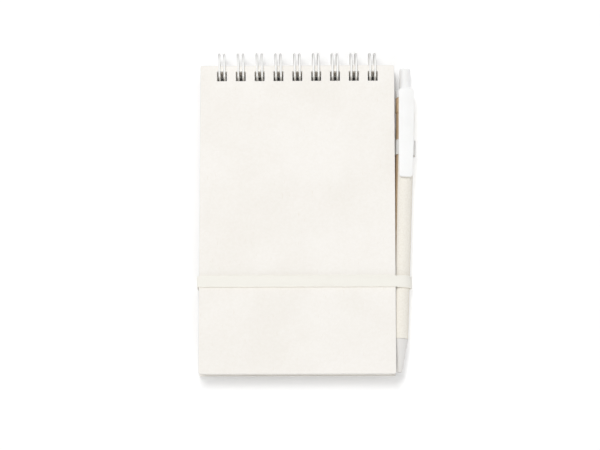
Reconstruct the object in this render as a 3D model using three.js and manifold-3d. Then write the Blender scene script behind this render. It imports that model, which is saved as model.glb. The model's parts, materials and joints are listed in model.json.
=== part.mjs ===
// A pocket notebook bound along its head by twin wire loops, closed by an elastic band, with a click pen in a loop.
// Millimetres. X runs across the covers, Y towards the wire and Z up. The origin is the middle of its base.
import * as THREE from "three";
import { mergeVertices } from "three/addons/utils/BufferGeometryUtils.js";
import Module from "manifold-3d";

const wasm = await Module();
wasm.setup();

// Covers
const COVER_WIDTH = 87;
const COVER_HEIGHT = 140;
const COVER_THICKNESS = 0.9;
const COVER_CORNER_RADIUS = 0.8;

// Sheets, in groups that turn together
const SHEET_THICKNESS = 0.08;
const SHEETS_IN_GROUP = 9;
const GROUP_COUNT = 8;
const GROUP_GAP = 0.03;
const SHEET_SIDE_INSET = 2;
const SHEET_FOOT_INSET = 0.5;
const SHEET_HEAD_INSET = 0.4;
const FRONT_COVER_GAP = 0.1;

// Wire binding: pairs of legs joined by a round tip, and root bars from one pair to the next
const LOOP_COUNT = 9;
const LOOP_PITCH = 8.467;
const WIRE_DIAMETER = 0.9;
const LEG_SPACING = 2.24;
const HOLE_SIDE_CLEARANCE = 0.63;
const HOLE_EDGE_MARGIN = 2.8;
const HOLE_FAR_CLEARANCE = 1.15;
const RING_CLEARANCE = 0.15;
const RING_BEYOND_EDGE = 0.3;
const ROOT_CORNER_RADIUS = 1.2;
const SEAM_GAP = 1;
const SEAM_TURN = THREE.MathUtils.degToRad(14);
const ROOT_STUB = 1.2;
const LEG_STEPS = 20;
const TIP_STEPS = 6;
const CORNER_STEPS = 3;
const WIRE_SIDES = 6;

// Elastic band
const BAND_WIDTH = 5;
const BAND_THICKNESS = 0.7;
const BAND_CLEARANCE = 0.3;
const BAND_FOOT_DISTANCE = 41.2;

// Pen loop: a ribbon round the pen, with a tail glued to the back cover
const RIBBON_WIDTH = 7;
const RIBBON_THICKNESS = 0.5;
const RIBBON_CLEARANCE = 0.2;
const TAIL_CLEARANCE = 0.1;
const TAIL_ON_COVER = 10;
const LOOP_FROM_FOOT = 102.3;

// Pen, measured along its axis from the tip of the nose cone
const PEN_LEAN = THREE.MathUtils.degToRad(1.72);
const PEN_CLEARANCE = 0.3;
const PEN_TIP_FROM_FOOT = 1.1;
const BARREL_DIAMETER = 7.3;
const BARREL_WALL = 0.8;
const BARREL_LENGTH = 102.6;
const NOSE_LENGTH = 14.8;
const NOSE_TIP_DIAMETER = 2.6;
const NOSE_WAIST_DIAMETER = 5;
const NOSE_WAIST_FROM_TIP = 7.4;
const UPPER_LENGTH = 6.8;
const COLLAR_LENGTH = 4;
const SPIGOT_LENGTH = 9;
const PEN_FIT = 0.12;
const PLASTIC_WALL = 0.7;
const BUTTON_DIAMETER = 4.6;
const BUTTON_STANDS_OUT = 10;
const BUTTON_INSIDE = 6;
const BUTTON_ROUNDING = 0.9;
const BUTTON_FOOT = 0.25;
const BUTTON_TRAVEL = 5;
const SLEEVE_WALL = 0.45;
const CLIP_LENGTH = 40.9;
const CLIP_WIDTH = 7;
const CLIP_END_WIDTH = 5.9;
const CLIP_THICKNESS = 1.1;
const CLIP_CORNER_RADIUS = 2.2;
const CLIP_END_RADIUS = 0.8;
const CLIP_BRIDGE_WIDTH = 4.2;
const CLIP_OVER_RIBBON = 0.35;

// Refill, spring and cam inside the pen
const REFILL_DIAMETER = 3;
const REFILL_WALL = 0.45;
const BALL_DIAMETER = 0.8;
const BALL_PLAY = 0.03;
const BALL_REACH = 0.25;
const BALL_OUT_WHEN_PRESSED = 2.6;
const POINT_DIAMETER = 1.5;
const POINT_CONE = 3;
const POINT_SHANK = 20;
const POINT_COLLAR = 1;
const POINT_PLUG = 4;
const ROTOR_LENGTH = 8;
const ROTOR_SOCKET = 3;
const ROTOR_RIBS = 4;
const ROTOR_RIB_WIDTH = 0.7;
const INK_SHARE = 0.8;
const SPRING_WIRE = 0.35;
const SPRING_TURNS = 9;
const SPRING_SIDES = 5;
const SPRING_STEPS_A_TURN = 8;
const END_PLAY = 0.15;

const ROUND_SEGMENTS = 24;
const ARC_SEGMENTS = 4;

// Heights, from the wire that the notebook lies on
const wireRadius = WIRE_DIAMETER / 2;
const groupThickness = SHEET_THICKNESS * SHEETS_IN_GROUP;
const stackThickness = GROUP_COUNT * (groupThickness + GROUP_GAP);
const tailSpace = RIBBON_THICKNESS + 2 * TAIL_CLEARANCE;
const coverSpacing = FRONT_COVER_GAP + stackThickness + tailSpace;
const blockThickness = coverSpacing + 2 * COVER_THICKNESS;
const marginReach = HOLE_EDGE_MARGIN + RING_BEYOND_EDGE;
const ringRadius = Math.hypot(marginReach, blockThickness / 2) + wireRadius + RING_CLEARANCE;
const ringOuterRadius = ringRadius + wireRadius;
const ringY = COVER_HEIGHT / 2 + RING_BEYOND_EDGE;
const ringZ = ringOuterRadius;
const backCoverZ = ringZ - blockThickness / 2;
const backCoverTop = backCoverZ + COVER_THICKNESS;
const frontCoverZ = backCoverTop + coverSpacing;

// Holes that the wire passes through
const holeWidth = LEG_SPACING + WIRE_DIAMETER + 2 * HOLE_SIDE_CLEARANCE;
const holeLength = ringOuterRadius + HOLE_FAR_CLEARANCE - marginReach;
const holeTop = COVER_HEIGHT / 2 - HOLE_EDGE_MARGIN;
const firstLoopX = (-(LOOP_COUNT - 1) * LOOP_PITCH) / 2;

// Place of the pen beside the sheets, tucked in between the covers at its lower end
const barrelRadius = BARREL_DIAMETER / 2;
const sheetHalfWidth = COVER_WIDTH / 2 - SHEET_SIDE_INSET;
const penZ = ringZ;
const penReach = barrelRadius + PEN_CLEARANCE;
const besideCovers = COVER_WIDTH / 2 + Math.sqrt(Math.max(0, penReach ** 2 - (coverSpacing / 2) ** 2));
const seamX = Math.max(sheetHalfWidth + penReach, besideCovers);
const penTipY = -COVER_HEIGHT / 2 + PEN_TIP_FROM_FOOT;
const penTipX = seamX - NOSE_LENGTH * Math.sin(PEN_LEAN);

// The pen's inner sizes, each tube fitting inside the next
const barrelBore = barrelRadius - BARREL_WALL;
const spigotRadius = barrelBore - PEN_FIT;
const spigotBore = spigotRadius - PLASTIC_WALL;
const buttonRadius = BUTTON_DIAMETER / 2;
const buttonBore = buttonRadius + PEN_FIT;
const footRadius = buttonRadius + BUTTON_FOOT;
const sleeveBore = footRadius + PEN_FIT;
const sleeveRadius = sleeveBore + SLEEVE_WALL;
const refillRadius = REFILL_DIAMETER / 2;
const refillBore = refillRadius - REFILL_WALL;
const pointRadius = POINT_DIAMETER / 2;
const noseHole = pointRadius + PEN_FIT;
const springRadius = spigotBore - PEN_FIT - SPRING_WIRE / 2;

// Stations along the pen's axis
const barrelFrom = NOSE_LENGTH;
const barrelTo = barrelFrom + BARREL_LENGTH;
const upperTo = barrelTo + UPPER_LENGTH;
const collarTo = upperTo + COLLAR_LENGTH;
const lipFrom = collarTo - PLASTIC_WALL;
const buttonFrom = collarTo - BUTTON_INSIDE;
const buttonTo = collarTo + BUTTON_STANDS_OUT;
const rotorTo = buttonFrom - END_PLAY;
const rotorFrom = rotorTo - ROTOR_LENGTH;
const ballAt = BUTTON_TRAVEL - BALL_OUT_WHEN_PRESSED;
const pointFrom = ballAt - BALL_DIAMETER / 2 + BALL_REACH;
const shankTo = pointFrom + POINT_SHANK;
const refillFrom = shankTo + POINT_COLLAR;
const refillTo = rotorFrom + ROTOR_SOCKET - END_PLAY;
const springFrom = NOSE_WAIST_FROM_TIP + END_PLAY + SPRING_WIRE / 2;
const springTo = shankTo - END_PLAY - SPRING_WIRE / 2;

const FINISHES = {
  carton: { color: 0xf6f2ea, roughness: 0.85, metalness: 0 },
  paper: { color: 0xf1eee6, roughness: 0.95, metalness: 0 },
  coatedWire: { color: 0xf4f4f2, roughness: 0.35, metalness: 0 },
  elastic: { color: 0xf2efe6, roughness: 0.9, metalness: 0 },
  ribbon: { color: 0xececea, roughness: 0.9, metalness: 0 },
  plastic: { color: 0xf7f7f6, roughness: 0.4, metalness: 0 },
  nose: { color: 0xe9e6e2, roughness: 0.45, metalness: 0 },
  refill: { color: 0xdfe3e6, roughness: 0.35, metalness: 0 },
  ink: { color: 0x16204f, roughness: 0.3, metalness: 0 },
  brass: { color: 0xc9a864, roughness: 0.3, metalness: 1 },
  steel: { color: 0xb9bcc0, roughness: 0.25, metalness: 1 },
};

// A closed geometry with its shared vertices merged and its empty triangles left out.
function weld(geometry) {
  const bare = new THREE.BufferGeometry();
  bare.setAttribute("position", geometry.getAttribute("position"));
  bare.setIndex(geometry.index);
  const merged = mergeVertices(bare, 1e-4);
  const from = merged.index.array;
  const kept = [];
  for (let i = 0; i < from.length; i += 3) {
    const [a, b, c] = [from[i], from[i + 1], from[i + 2]];
    if (a !== b && b !== c && c !== a) kept.push(a, b, c);
  }
  merged.setIndex(kept);
  return merged;
}

function toSolid(geometry) {
  const welded = weld(geometry);
  const mesh = new wasm.Mesh({
    numProp: 3,
    vertProperties: welded.attributes.position.array,
    triVerts: new Uint32Array(welded.index.array),
  });
  return new wasm.Manifold(mesh);
}

function toGeometry(solid) {
  const { vertProperties, triVerts } = solid.getMesh();
  const geometry = new THREE.BufferGeometry();
  geometry.setAttribute("position", new THREE.BufferAttribute(vertProperties, 3));
  geometry.setIndex(new THREE.BufferAttribute(triVerts, 1));
  geometry.computeVertexNormals();
  return geometry;
}

function join(geometries) {
  const solids = geometries.map(toSolid);
  return toGeometry(solids.reduce((all, next) => all.add(next)));
}

function cut(geometry, tools) {
  return toGeometry(tools.map(toSolid).reduce((rest, tool) => rest.subtract(tool), toSolid(geometry)));
}

function piece(name, geometry, finish) {
  const mesh = new THREE.Mesh(geometry, new THREE.MeshStandardMaterial(finish));
  mesh.name = name;
  return mesh;
}

// A body turned about Y from [radius, y] corners, listed anticlockwise with the radius to the right.
function turned(corners) {
  const profile = [...corners, corners[0]].map(([radius, y]) => new THREE.Vector2(radius, y));
  return weld(new THREE.LatheGeometry(profile, ROUND_SEGMENTS));
}

// A tube through points, with a vector at each point that its section's first corner faces.
function tube(points, facing, radius, sides) {
  const positions = [];
  const index = [];
  points.forEach((point, i) => {
    const before = points[Math.max(i - 1, 0)];
    const after = points[Math.min(i + 1, points.length - 1)];
    const along = after.clone().sub(before).normalize();
    const across = along.clone().cross(facing[i]).normalize();
    const out = across.clone().cross(along);
    for (let k = 0; k < sides; k++) {
      const turn = (k / sides) * 2 * Math.PI;
      const corner = point.clone();
      corner.addScaledVector(out, radius * Math.cos(turn));
      corner.addScaledVector(across, radius * Math.sin(turn));
      positions.push(...corner.toArray());
    }
  });
  for (let i = 0; i < points.length - 1; i++) {
    for (let k = 0; k < sides; k++) {
      const [a, b] = [i * sides + k, i * sides + ((k + 1) % sides)];
      index.push(a, b, a + sides, b, b + sides, a + sides);
    }
  }
  const last = (points.length - 1) * sides;
  for (let k = 1; k < sides - 1; k++) {
    index.push(0, k + 1, k);
    index.push(last, last + k, last + k + 1);
  }
  const geometry = new THREE.BufferGeometry();
  geometry.setAttribute("position", new THREE.Float32BufferAttribute(positions, 3));
  geometry.setIndex(index);
  return geometry;
}

// The least gap that a winding leaves to itself, between points further apart along it than skip.
function leastGap(points, diameter, skip) {
  const run = [0];
  for (let i = 1; i < points.length; i++) run.push(run[i - 1] + points[i].distanceTo(points[i - 1]));
  let least = Infinity;
  points.forEach((point, i) => {
    for (let k = i + 1; k < points.length; k++) {
      if (run[k] - run[i] > skip) least = Math.min(least, point.distanceTo(points[k]));
    }
  });
  return least - diameter;
}

// An outline in a plane, made solid by the given depth along Z.
function thick(shape, depth, curveSegments = ARC_SEGMENTS) {
  return weld(new THREE.ExtrudeGeometry(shape, { depth, bevelEnabled: false, curveSegments }));
}

// The same, drawn in X and Z and made solid along Y, about the plane y = 0.
function thickAcross(shape, depth, curveSegments) {
  return thick(shape, depth, curveSegments).rotateX(Math.PI / 2).translate(0, depth / 2, 0);
}

function roundedRectangle(left, right, bottom, top, radius) {
  const shape = new THREE.Shape();
  shape.absarc(right - radius, bottom + radius, radius, -Math.PI / 2, 0, false);
  shape.absarc(right - radius, top - radius, radius, 0, Math.PI / 2, false);
  shape.absarc(left + radius, top - radius, radius, Math.PI / 2, Math.PI, false);
  shape.absarc(left + radius, bottom + radius, radius, Math.PI, 1.5 * Math.PI, false);
  return shape;
}

// A cover or a group of sheets, with the row of holes for the wire.
function leaf(sideInset, footInset, headInset, thickness) {
  const [halfWidth, halfHeight] = [COVER_WIDTH / 2, COVER_HEIGHT / 2];
  const [left, right] = [-halfWidth + sideInset, halfWidth - sideInset];
  const [foot, head] = [-halfHeight + footInset, halfHeight - headInset];
  const board = thick(roundedRectangle(left, right, foot, head, COVER_CORNER_RADIUS), thickness);
  const holes = Array.from({ length: LOOP_COUNT }, (_, i) => {
    const punch = new THREE.BoxGeometry(holeWidth, holeLength, 3 * thickness);
    return punch.translate(firstLoopX + i * LOOP_PITCH, holeTop - holeLength / 2, thickness / 2);
  });
  return cut(board, holes);
}

function cover(name, z) {
  const board = piece(name, leaf(0, 0, 0, COVER_THICKNESS), FINISHES.carton);
  board.position.z = z;
  return board;
}

// Group 1 is the top one, under the front cover.
function sheetGroup(number) {
  const paper = leaf(SHEET_SIDE_INSET, SHEET_FOOT_INSET, SHEET_HEAD_INSET, groupThickness);
  const group = piece(`sheets_${number}`, paper, FINISHES.paper);
  const below = GROUP_COUNT - number;
  group.position.z = backCoverTop + tailSpace + below * (groupThickness + GROUP_GAP);
  return group;
}

// The winding's route on its cylinder, as [x, arc] with the arc counted from the root bars.
function wireRoute() {
  const legHalf = LEG_SPACING / 2;
  const tipArc = 2 * Math.PI * ringRadius - SEAM_GAP - WIRE_DIAMETER;
  const [legFrom, legTo] = [ROOT_CORNER_RADIUS, tipArc - legHalf];
  const route = [];
  const corner = (x, sign, fromTurn, toTurn) => {
    for (let i = 0; i < CORNER_STEPS; i++) {
      const turn = THREE.MathUtils.lerp(fromTurn, toTurn, i / CORNER_STEPS);
      const dx = ROOT_CORNER_RADIUS * (1 - Math.sin(turn));
      route.push([x + sign * dx, ROOT_CORNER_RADIUS * (1 - Math.cos(turn))]);
    }
  };
  for (let loop = 0; loop < LOOP_COUNT; loop++) {
    const x = firstLoopX + loop * LOOP_PITCH;
    if (loop === 0) route.push([x - legHalf - ROOT_CORNER_RADIUS - ROOT_STUB, 0]);
    corner(x - legHalf, -1, 0, Math.PI / 2);
    for (let i = 0; i < LEG_STEPS; i++) {
      route.push([x - legHalf, THREE.MathUtils.lerp(legFrom, legTo, i / LEG_STEPS)]);
    }
    for (let i = 0; i < TIP_STEPS; i++) {
      const turn = (i / TIP_STEPS) * Math.PI;
      route.push([x - legHalf * Math.cos(turn), legTo + legHalf * Math.sin(turn)]);
    }
    for (let i = 0; i < LEG_STEPS; i++) {
      route.push([x + legHalf, THREE.MathUtils.lerp(legTo, legFrom, i / LEG_STEPS)]);
    }
    corner(x + legHalf, 1, Math.PI / 2, 0);
    route.push([x + legHalf + ROOT_CORNER_RADIUS, 0]);
    if (loop === LOOP_COUNT - 1) route.push([x + legHalf + ROOT_CORNER_RADIUS + ROOT_STUB, 0]);
  }
  return route;
}

// The root bars run under the back cover, a little off the ring's lowest line, and the tips come round to them through
// the holes.
function wireBinding() {
  const points = [];
  const facing = [];
  for (const [x, arc] of wireRoute()) {
    const angle = arc / ringRadius - Math.PI / 2 - SEAM_TURN;
    const out = new THREE.Vector3(0, Math.cos(angle), Math.sin(angle));
    facing.push(out);
    points.push(new THREE.Vector3(x, 0, 0).addScaledVector(out, ringRadius));
  }
  const gap = leastGap(points, WIRE_DIAMETER, 3 * WIRE_DIAMETER);
  console.log(`wire_binding: least gap to itself ${gap.toFixed(2)} mm`);
  const wire = piece("wire_binding", tube(points, facing, wireRadius, WIRE_SIDES), FINISHES.coatedWire);
  wire.position.set(0, ringY, ringZ);
  return wire;
}

// The corners of a belt round circles [x, y, radius] that are listed anticlockwise, standing off them by a distance.
function beltOutline(circles, off) {
  const tangents = circles.map(([x, y, radius], i) => {
    const [nextX, nextY, nextRadius] = circles[(i + 1) % circles.length];
    const [dx, dy] = [nextX - x, nextY - y];
    return Math.atan2(dy, dx) - Math.acos((radius - nextRadius) / Math.hypot(dx, dy));
  });
  const corners = [];
  circles.forEach(([x, y, radius], i) => {
    const from = tangents[(i + circles.length - 1) % circles.length];
    const to = tangents[i] + (tangents[i] < from ? 2 * Math.PI : 0);
    const steps = Math.ceil(((to - from) / (2 * Math.PI)) * ROUND_SEGMENTS);
    for (let k = 0; k <= steps; k++) {
      const turn = THREE.MathUtils.lerp(from, to, k / steps);
      corners.push(new THREE.Vector2(x + (radius + off) * Math.cos(turn), y + (radius + off) * Math.sin(turn)));
    }
  });
  return corners;
}

function elasticBand() {
  const y = -COVER_HEIGHT / 2 + BAND_FOOT_DISTANCE;
  const [top, bottom] = [frontCoverZ + COVER_THICKNESS, backCoverZ];
  const edge = COVER_WIDTH / 2;
  const penX = penTipX + (y - penTipY) * Math.tan(PEN_LEAN);
  const circles = [[-edge, bottom, 0], [edge, bottom, 0], [penX, penZ, barrelRadius], [edge, top, 0], [-edge, top, 0]];
  const shape = new THREE.Shape(beltOutline(circles, BAND_CLEARANCE + BAND_THICKNESS));
  shape.holes.push(new THREE.Path(beltOutline(circles, BAND_CLEARANCE)));
  const band = piece("elastic_band", thickAcross(shape, BAND_WIDTH), FINISHES.elastic);
  band.position.y = y;
  return band;
}

// The ribbon's ring goes round the barrel, and its tail lies on the back cover, under the sheets.
function penLoop(stationOnPen) {
  const inner = barrelRadius + RIBBON_CLEARANCE;
  const outer = inner + RIBBON_THICKNESS;
  const low = backCoverTop + TAIL_CLEARANCE - penZ;
  const high = low + RIBBON_THICKNESS;
  const angleAt = (height) => -Math.PI - Math.asin(height / outer);
  const axisX = penTipX + stationOnPen * Math.sin(PEN_LEAN);
  const tailEnd = COVER_WIDTH / 2 - TAIL_ON_COVER - axisX;
  const shape = new THREE.Shape();
  shape.moveTo(tailEnd, high);
  shape.lineTo(tailEnd, low);
  shape.absarc(0, 0, outer, angleAt(low), angleAt(high) + 2 * Math.PI, false);
  shape.closePath();
  shape.holes.push(new THREE.Path().absarc(0, 0, inner, 0, 2 * Math.PI, true));
  const ribbon = thickAcross(shape, RIBBON_WIDTH, ROUND_SEGMENTS);
  return piece("pen_loop", ribbon.translate(0, stationOnPen, 0), FINISHES.ribbon);
}

// Nose cone with a spigot inside the barrel, and a shoulder inside that the spring stands on.
function noseCone() {
  const spigotTo = NOSE_LENGTH + SPIGOT_LENGTH;
  return turned([
    [noseHole, 0],
    [NOSE_TIP_DIAMETER / 2, 0],
    [NOSE_WAIST_DIAMETER / 2, NOSE_WAIST_FROM_TIP],
    [barrelRadius, NOSE_LENGTH - PEN_FIT],
    [spigotRadius, NOSE_LENGTH - PEN_FIT],
    [spigotRadius, spigotTo],
    [spigotBore, spigotTo],
    [spigotBore, NOSE_WAIST_FROM_TIP],
    [noseHole, NOSE_WAIST_FROM_TIP],
  ]);
}

function barrel() {
  return turned([
    [barrelBore, barrelFrom],
    [barrelRadius, barrelFrom],
    [barrelRadius, barrelTo],
    [barrelBore, barrelTo],
  ]);
}

// Upper section, plugged into the barrel, with a sleeve that the clip's collar sits on.
function upperSection() {
  const plugFrom = barrelTo - SPIGOT_LENGTH;
  const sleeveTo = lipFrom - PEN_FIT;
  return turned([
    [sleeveBore, plugFrom],
    [spigotRadius, plugFrom],
    [spigotRadius, barrelTo + PEN_FIT],
    [barrelRadius, barrelTo + PEN_FIT],
    [barrelRadius, upperTo],
    [sleeveRadius, upperTo],
    [sleeveRadius, sleeveTo],
    [sleeveBore, sleeveTo],
  ]);
}

function clipCollar() {
  const from = upperTo + PEN_FIT;
  return turned([
    [sleeveRadius + PEN_FIT, from],
    [barrelRadius, from],
    [barrelRadius, lipFrom],
    [barrelRadius - PLASTIC_WALL, collarTo],
    [buttonBore, collarTo],
    [buttonBore, lipFrom],
    [sleeveRadius + PEN_FIT, lipFrom],
  ]);
}

// The flat plate of the clip: full width at its shoulder, narrower at its free end.
function clipPlate(height) {
  const [foot, head] = [collarTo - CLIP_LENGTH, collarTo];
  const [half, endHalf] = [CLIP_WIDTH / 2, CLIP_END_WIDTH / 2];
  const shape = new THREE.Shape();
  shape.moveTo(endHalf, foot + CLIP_END_RADIUS);
  shape.absarc(half - CLIP_CORNER_RADIUS, head - CLIP_CORNER_RADIUS, CLIP_CORNER_RADIUS, 0, Math.PI / 2, false);
  shape.absarc(CLIP_CORNER_RADIUS - half, head - CLIP_CORNER_RADIUS, CLIP_CORNER_RADIUS, Math.PI / 2, Math.PI, false);
  shape.absarc(CLIP_END_RADIUS - endHalf, foot + CLIP_END_RADIUS, CLIP_END_RADIUS, Math.PI, 1.5 * Math.PI, false);
  shape.absarc(endHalf - CLIP_END_RADIUS, foot + CLIP_END_RADIUS, CLIP_END_RADIUS, -Math.PI / 2, 0, false);
  return thick(shape, CLIP_THICKNESS).translate(0, 0, height);
}

function clip() {
  const underside = barrelRadius + RIBBON_CLEARANCE + RIBBON_THICKNESS + CLIP_OVER_RIBBON;
  const bridgeFrom = sleeveRadius + PEN_FIT + PLASTIC_WALL / 2;
  const bridgeLength = COLLAR_LENGTH - PEN_FIT - 2 * PLASTIC_WALL;
  const bridgeHeight = underside + CLIP_THICKNESS / 2 - bridgeFrom;
  const bridge = new THREE.BoxGeometry(CLIP_BRIDGE_WIDTH, bridgeLength, bridgeHeight);
  bridge.translate(0, upperTo + PEN_FIT + bridgeLength / 2, bridgeFrom + bridgeHeight / 2);
  return join([clipCollar(), bridge, clipPlate(underside)]);
}

// Push button: a rounded cap, with a foot that the collar's lip holds in.
function pushButton() {
  const round = BUTTON_ROUNDING;
  const footTo = lipFrom - END_PLAY;
  return turned([
    [0, buttonFrom],
    [footRadius, buttonFrom],
    [footRadius, footTo],
    [buttonRadius, footTo],
    [buttonRadius, buttonTo - round],
    [buttonRadius - round * (1 - Math.SQRT1_2), buttonTo - round * (1 - Math.SQRT1_2)],
    [buttonRadius - round, buttonTo],
    [0, buttonTo],
  ]);
}

// Cam rotor: pushes the refill, and its ribs turn it in the upper section.
function camRotor() {
  const socket = refillRadius + PEN_FIT;
  const skirt = Math.max(socket + PEN_FIT, buttonRadius - PLASTIC_WALL);
  const body = turned([
    [0, rotorFrom + ROTOR_SOCKET],
    [socket, rotorFrom + ROTOR_SOCKET],
    [socket, rotorFrom],
    [skirt, rotorFrom],
    [skirt, rotorTo - PLASTIC_WALL],
    [skirt - PLASTIC_WALL, rotorTo],
    [0, rotorTo],
  ]);
  const reach = sleeveBore - PEN_FIT;
  const ribs = Array.from({ length: ROTOR_RIBS }, (_, i) => {
    const rib = new THREE.BoxGeometry(reach / 2, ROTOR_LENGTH / 2, ROTOR_RIB_WIDTH);
    rib.translate((reach * 3) / 4, (rotorFrom + ROTOR_SOCKET + rotorTo) / 2, 0);
    return rib.rotateY((i / ROTOR_RIBS) * 2 * Math.PI);
  });
  return join([body, ...ribs]);
}

function refillTube() {
  return turned([
    [refillBore, refillFrom],
    [refillRadius, refillFrom],
    [refillRadius, refillTo],
    [refillBore, refillTo],
  ]);
}

function inkColumn() {
  const from = refillFrom + POINT_PLUG + END_PLAY;
  const to = THREE.MathUtils.lerp(from, refillTo, INK_SHARE);
  const radius = refillBore - BALL_PLAY;
  return turned([[0, from], [radius, from], [radius, to], [0, to]]);
}

// Writing point: a cone that holds the ball, a shank, a collar for the spring and a plug in the refill tube.
function refillPoint() {
  const socket = BALL_DIAMETER / 2 + BALL_PLAY;
  const seat = ballAt + BALL_DIAMETER / 2 + BALL_PLAY;
  const coneTo = pointFrom + POINT_CONE;
  return turned([
    [0, seat],
    [socket * Math.SQRT1_2, seat],
    [socket, ballAt + (socket * (1 - Math.SQRT1_2))],
    [socket, pointFrom],
    [socket + BALL_PLAY * 2, pointFrom],
    [pointRadius, coneTo],
    [pointRadius, shankTo],
    [refillRadius, shankTo],
    [refillRadius, refillFrom - BALL_PLAY],
    [refillBore - BALL_PLAY, refillFrom - BALL_PLAY],
    [refillBore - BALL_PLAY, refillFrom + POINT_PLUG],
    [0, refillFrom + POINT_PLUG],
  ]);
}

function ball() {
  return weld(new THREE.SphereGeometry(BALL_DIAMETER / 2, 12, 8).translate(0, ballAt, 0));
}

function spring() {
  const steps = SPRING_TURNS * SPRING_STEPS_A_TURN;
  const points = [];
  const facing = [];
  for (let i = 0; i <= steps; i++) {
    const turn = (i / SPRING_STEPS_A_TURN) * 2 * Math.PI;
    const out = new THREE.Vector3(Math.cos(turn), 0, Math.sin(turn));
    facing.push(out);
    points.push(new THREE.Vector3(0, THREE.MathUtils.lerp(springFrom, springTo, i / steps), 0));
    points[i].addScaledVector(out, springRadius);
  }
  const gap = leastGap(points, SPRING_WIRE, springRadius * Math.PI);
  console.log(`pen_spring: least gap to itself ${gap.toFixed(2)} mm`);
  return tube(points, facing, SPRING_WIRE / 2, SPRING_SIDES);
}

function pen() {
  const group = new THREE.Group();
  group.position.set(penTipX, penTipY, penZ);
  group.rotation.z = -PEN_LEAN;
  group.add(
    piece("pen_nose_cone", noseCone(), FINISHES.nose),
    piece("pen_barrel", barrel(), FINISHES.carton),
    piece("pen_upper_section", upperSection(), FINISHES.carton),
    piece("pen_clip", clip(), FINISHES.plastic),
    piece("pen_button", pushButton(), FINISHES.plastic),
    piece("pen_cam_rotor", camRotor(), FINISHES.plastic),
    piece("pen_refill_tube", refillTube(), FINISHES.refill),
    piece("pen_ink", inkColumn(), FINISHES.ink),
    piece("pen_refill_point", refillPoint(), FINISHES.brass),
    piece("pen_ball", ball(), FINISHES.steel),
    piece("pen_spring", spring(), FINISHES.steel),
    penLoop(LOOP_FROM_FOOT - PEN_TIP_FROM_FOOT),
  );
  return group;
}

const notebook = new THREE.Group();
notebook.add(cover("front_cover", frontCoverZ), cover("back_cover", backCoverZ));
for (let number = 1; number <= GROUP_COUNT; number++) notebook.add(sheetGroup(number));
notebook.add(wireBinding(), elasticBand(), pen());

// Stands the whole on z = 0, over the middle of its base.
const box = new THREE.Box3().setFromObject(notebook, true);
const middle = box.getCenter(new THREE.Vector3());
notebook.position.set(-middle.x, -middle.y, -box.min.z);

export default notebook;
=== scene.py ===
"""Dresses a pocket notebook with turning leaves, a wire binding, an elastic band and a click pen in a loop.

Every piece is made in metres in the row's own frame: X runs across the covers towards the pen, Y from the foot
towards the wire, and Z up out of the front cover. Sizes in the classes below are in millimetres.
"""

import json
import logging
import math
from collections.abc import Callable, Iterator, Sequence
from contextlib import contextmanager
from dataclasses import dataclass
from enum import Enum

import bmesh
import bpy
from mathutils import Matrix, Vector, noise

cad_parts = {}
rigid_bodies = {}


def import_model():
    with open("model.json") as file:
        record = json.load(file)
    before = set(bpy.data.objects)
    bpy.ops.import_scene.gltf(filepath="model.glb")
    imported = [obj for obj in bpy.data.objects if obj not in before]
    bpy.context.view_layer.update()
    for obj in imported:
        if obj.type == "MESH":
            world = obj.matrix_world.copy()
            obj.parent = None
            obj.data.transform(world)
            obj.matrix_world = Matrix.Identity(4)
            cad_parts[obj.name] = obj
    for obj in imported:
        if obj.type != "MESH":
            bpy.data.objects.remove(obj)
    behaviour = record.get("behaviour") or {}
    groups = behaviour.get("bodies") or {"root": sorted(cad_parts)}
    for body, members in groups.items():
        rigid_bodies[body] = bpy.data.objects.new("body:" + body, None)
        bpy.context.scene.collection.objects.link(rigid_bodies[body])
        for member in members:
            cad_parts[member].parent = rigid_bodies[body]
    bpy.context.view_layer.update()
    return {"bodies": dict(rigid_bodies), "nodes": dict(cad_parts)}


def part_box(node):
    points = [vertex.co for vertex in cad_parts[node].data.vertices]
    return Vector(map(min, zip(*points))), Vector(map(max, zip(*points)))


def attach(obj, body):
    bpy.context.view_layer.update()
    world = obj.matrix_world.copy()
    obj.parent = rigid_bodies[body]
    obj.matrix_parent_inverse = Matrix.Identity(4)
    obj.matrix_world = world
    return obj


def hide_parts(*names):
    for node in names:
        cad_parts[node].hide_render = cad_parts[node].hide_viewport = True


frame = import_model()

MM = 0.001
MERGE_DISTANCE = 1e-6
WELD_DISTANCE = 1e-7
SAME_HEIGHT = 1e-7
ON_AXIS = 1e-6
STRAP_CROWN = 1.06
LOOP_COUNT = 9
LOOP_PITCH = 8.467
PEN_LEAN = math.radians(1.72)
PEN_NEARER = 0.2
LOG = logging.getLogger("notebook")

Point2 = tuple[float, float]
Point3 = tuple[float, float, float]
Colour = tuple[float, float, float, float]

BLACK: Colour = (0.0, 0.0, 0.0, 1.0)
WHITE: Colour = (1.0, 1.0, 1.0, 1.0)


class Body(Enum):
    """The bodies that pieces ride on, apart from those of the sheets, which are named by their number."""

    BACK = "back"
    FRONT = "front_cover"
    BAND = "elastic_band"
    PEN = "pen"
    BUTTON = "push_button"
    REFILL = "refill"


def smooth_share(value: float, start: float, end: float) -> float:
    """Rises smoothly from 0 to 1 between two values.

    Args:
        value: Where the share is wanted.
        start: Where it is still 0.
        end: Where it has reached 1, which may lie below the start.

    Returns:
        The share, from 0 to 1.
    """
    share = min(max((value - start) / (end - start), 0.0), 1.0)
    return share * share * (3 - 2 * share)


def linear(code: str) -> Colour:
    """Turns a colour as a picture shows it into the numbers that shaders take.

    Args:
        code: Six hexadecimal digits, such as "f5f2ec".

    Returns:
        Linear red, green and blue, and an alpha of 1.
    """
    parts = (int(code[i:i + 2], 16) / 255 for i in (0, 2, 4))
    red, green, blue = (p / 12.92 if p <= 0.04045 else ((p + 0.055) / 1.055) ** 2.4 for p in parts)
    return (red, green, blue, 1.0)


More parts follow.
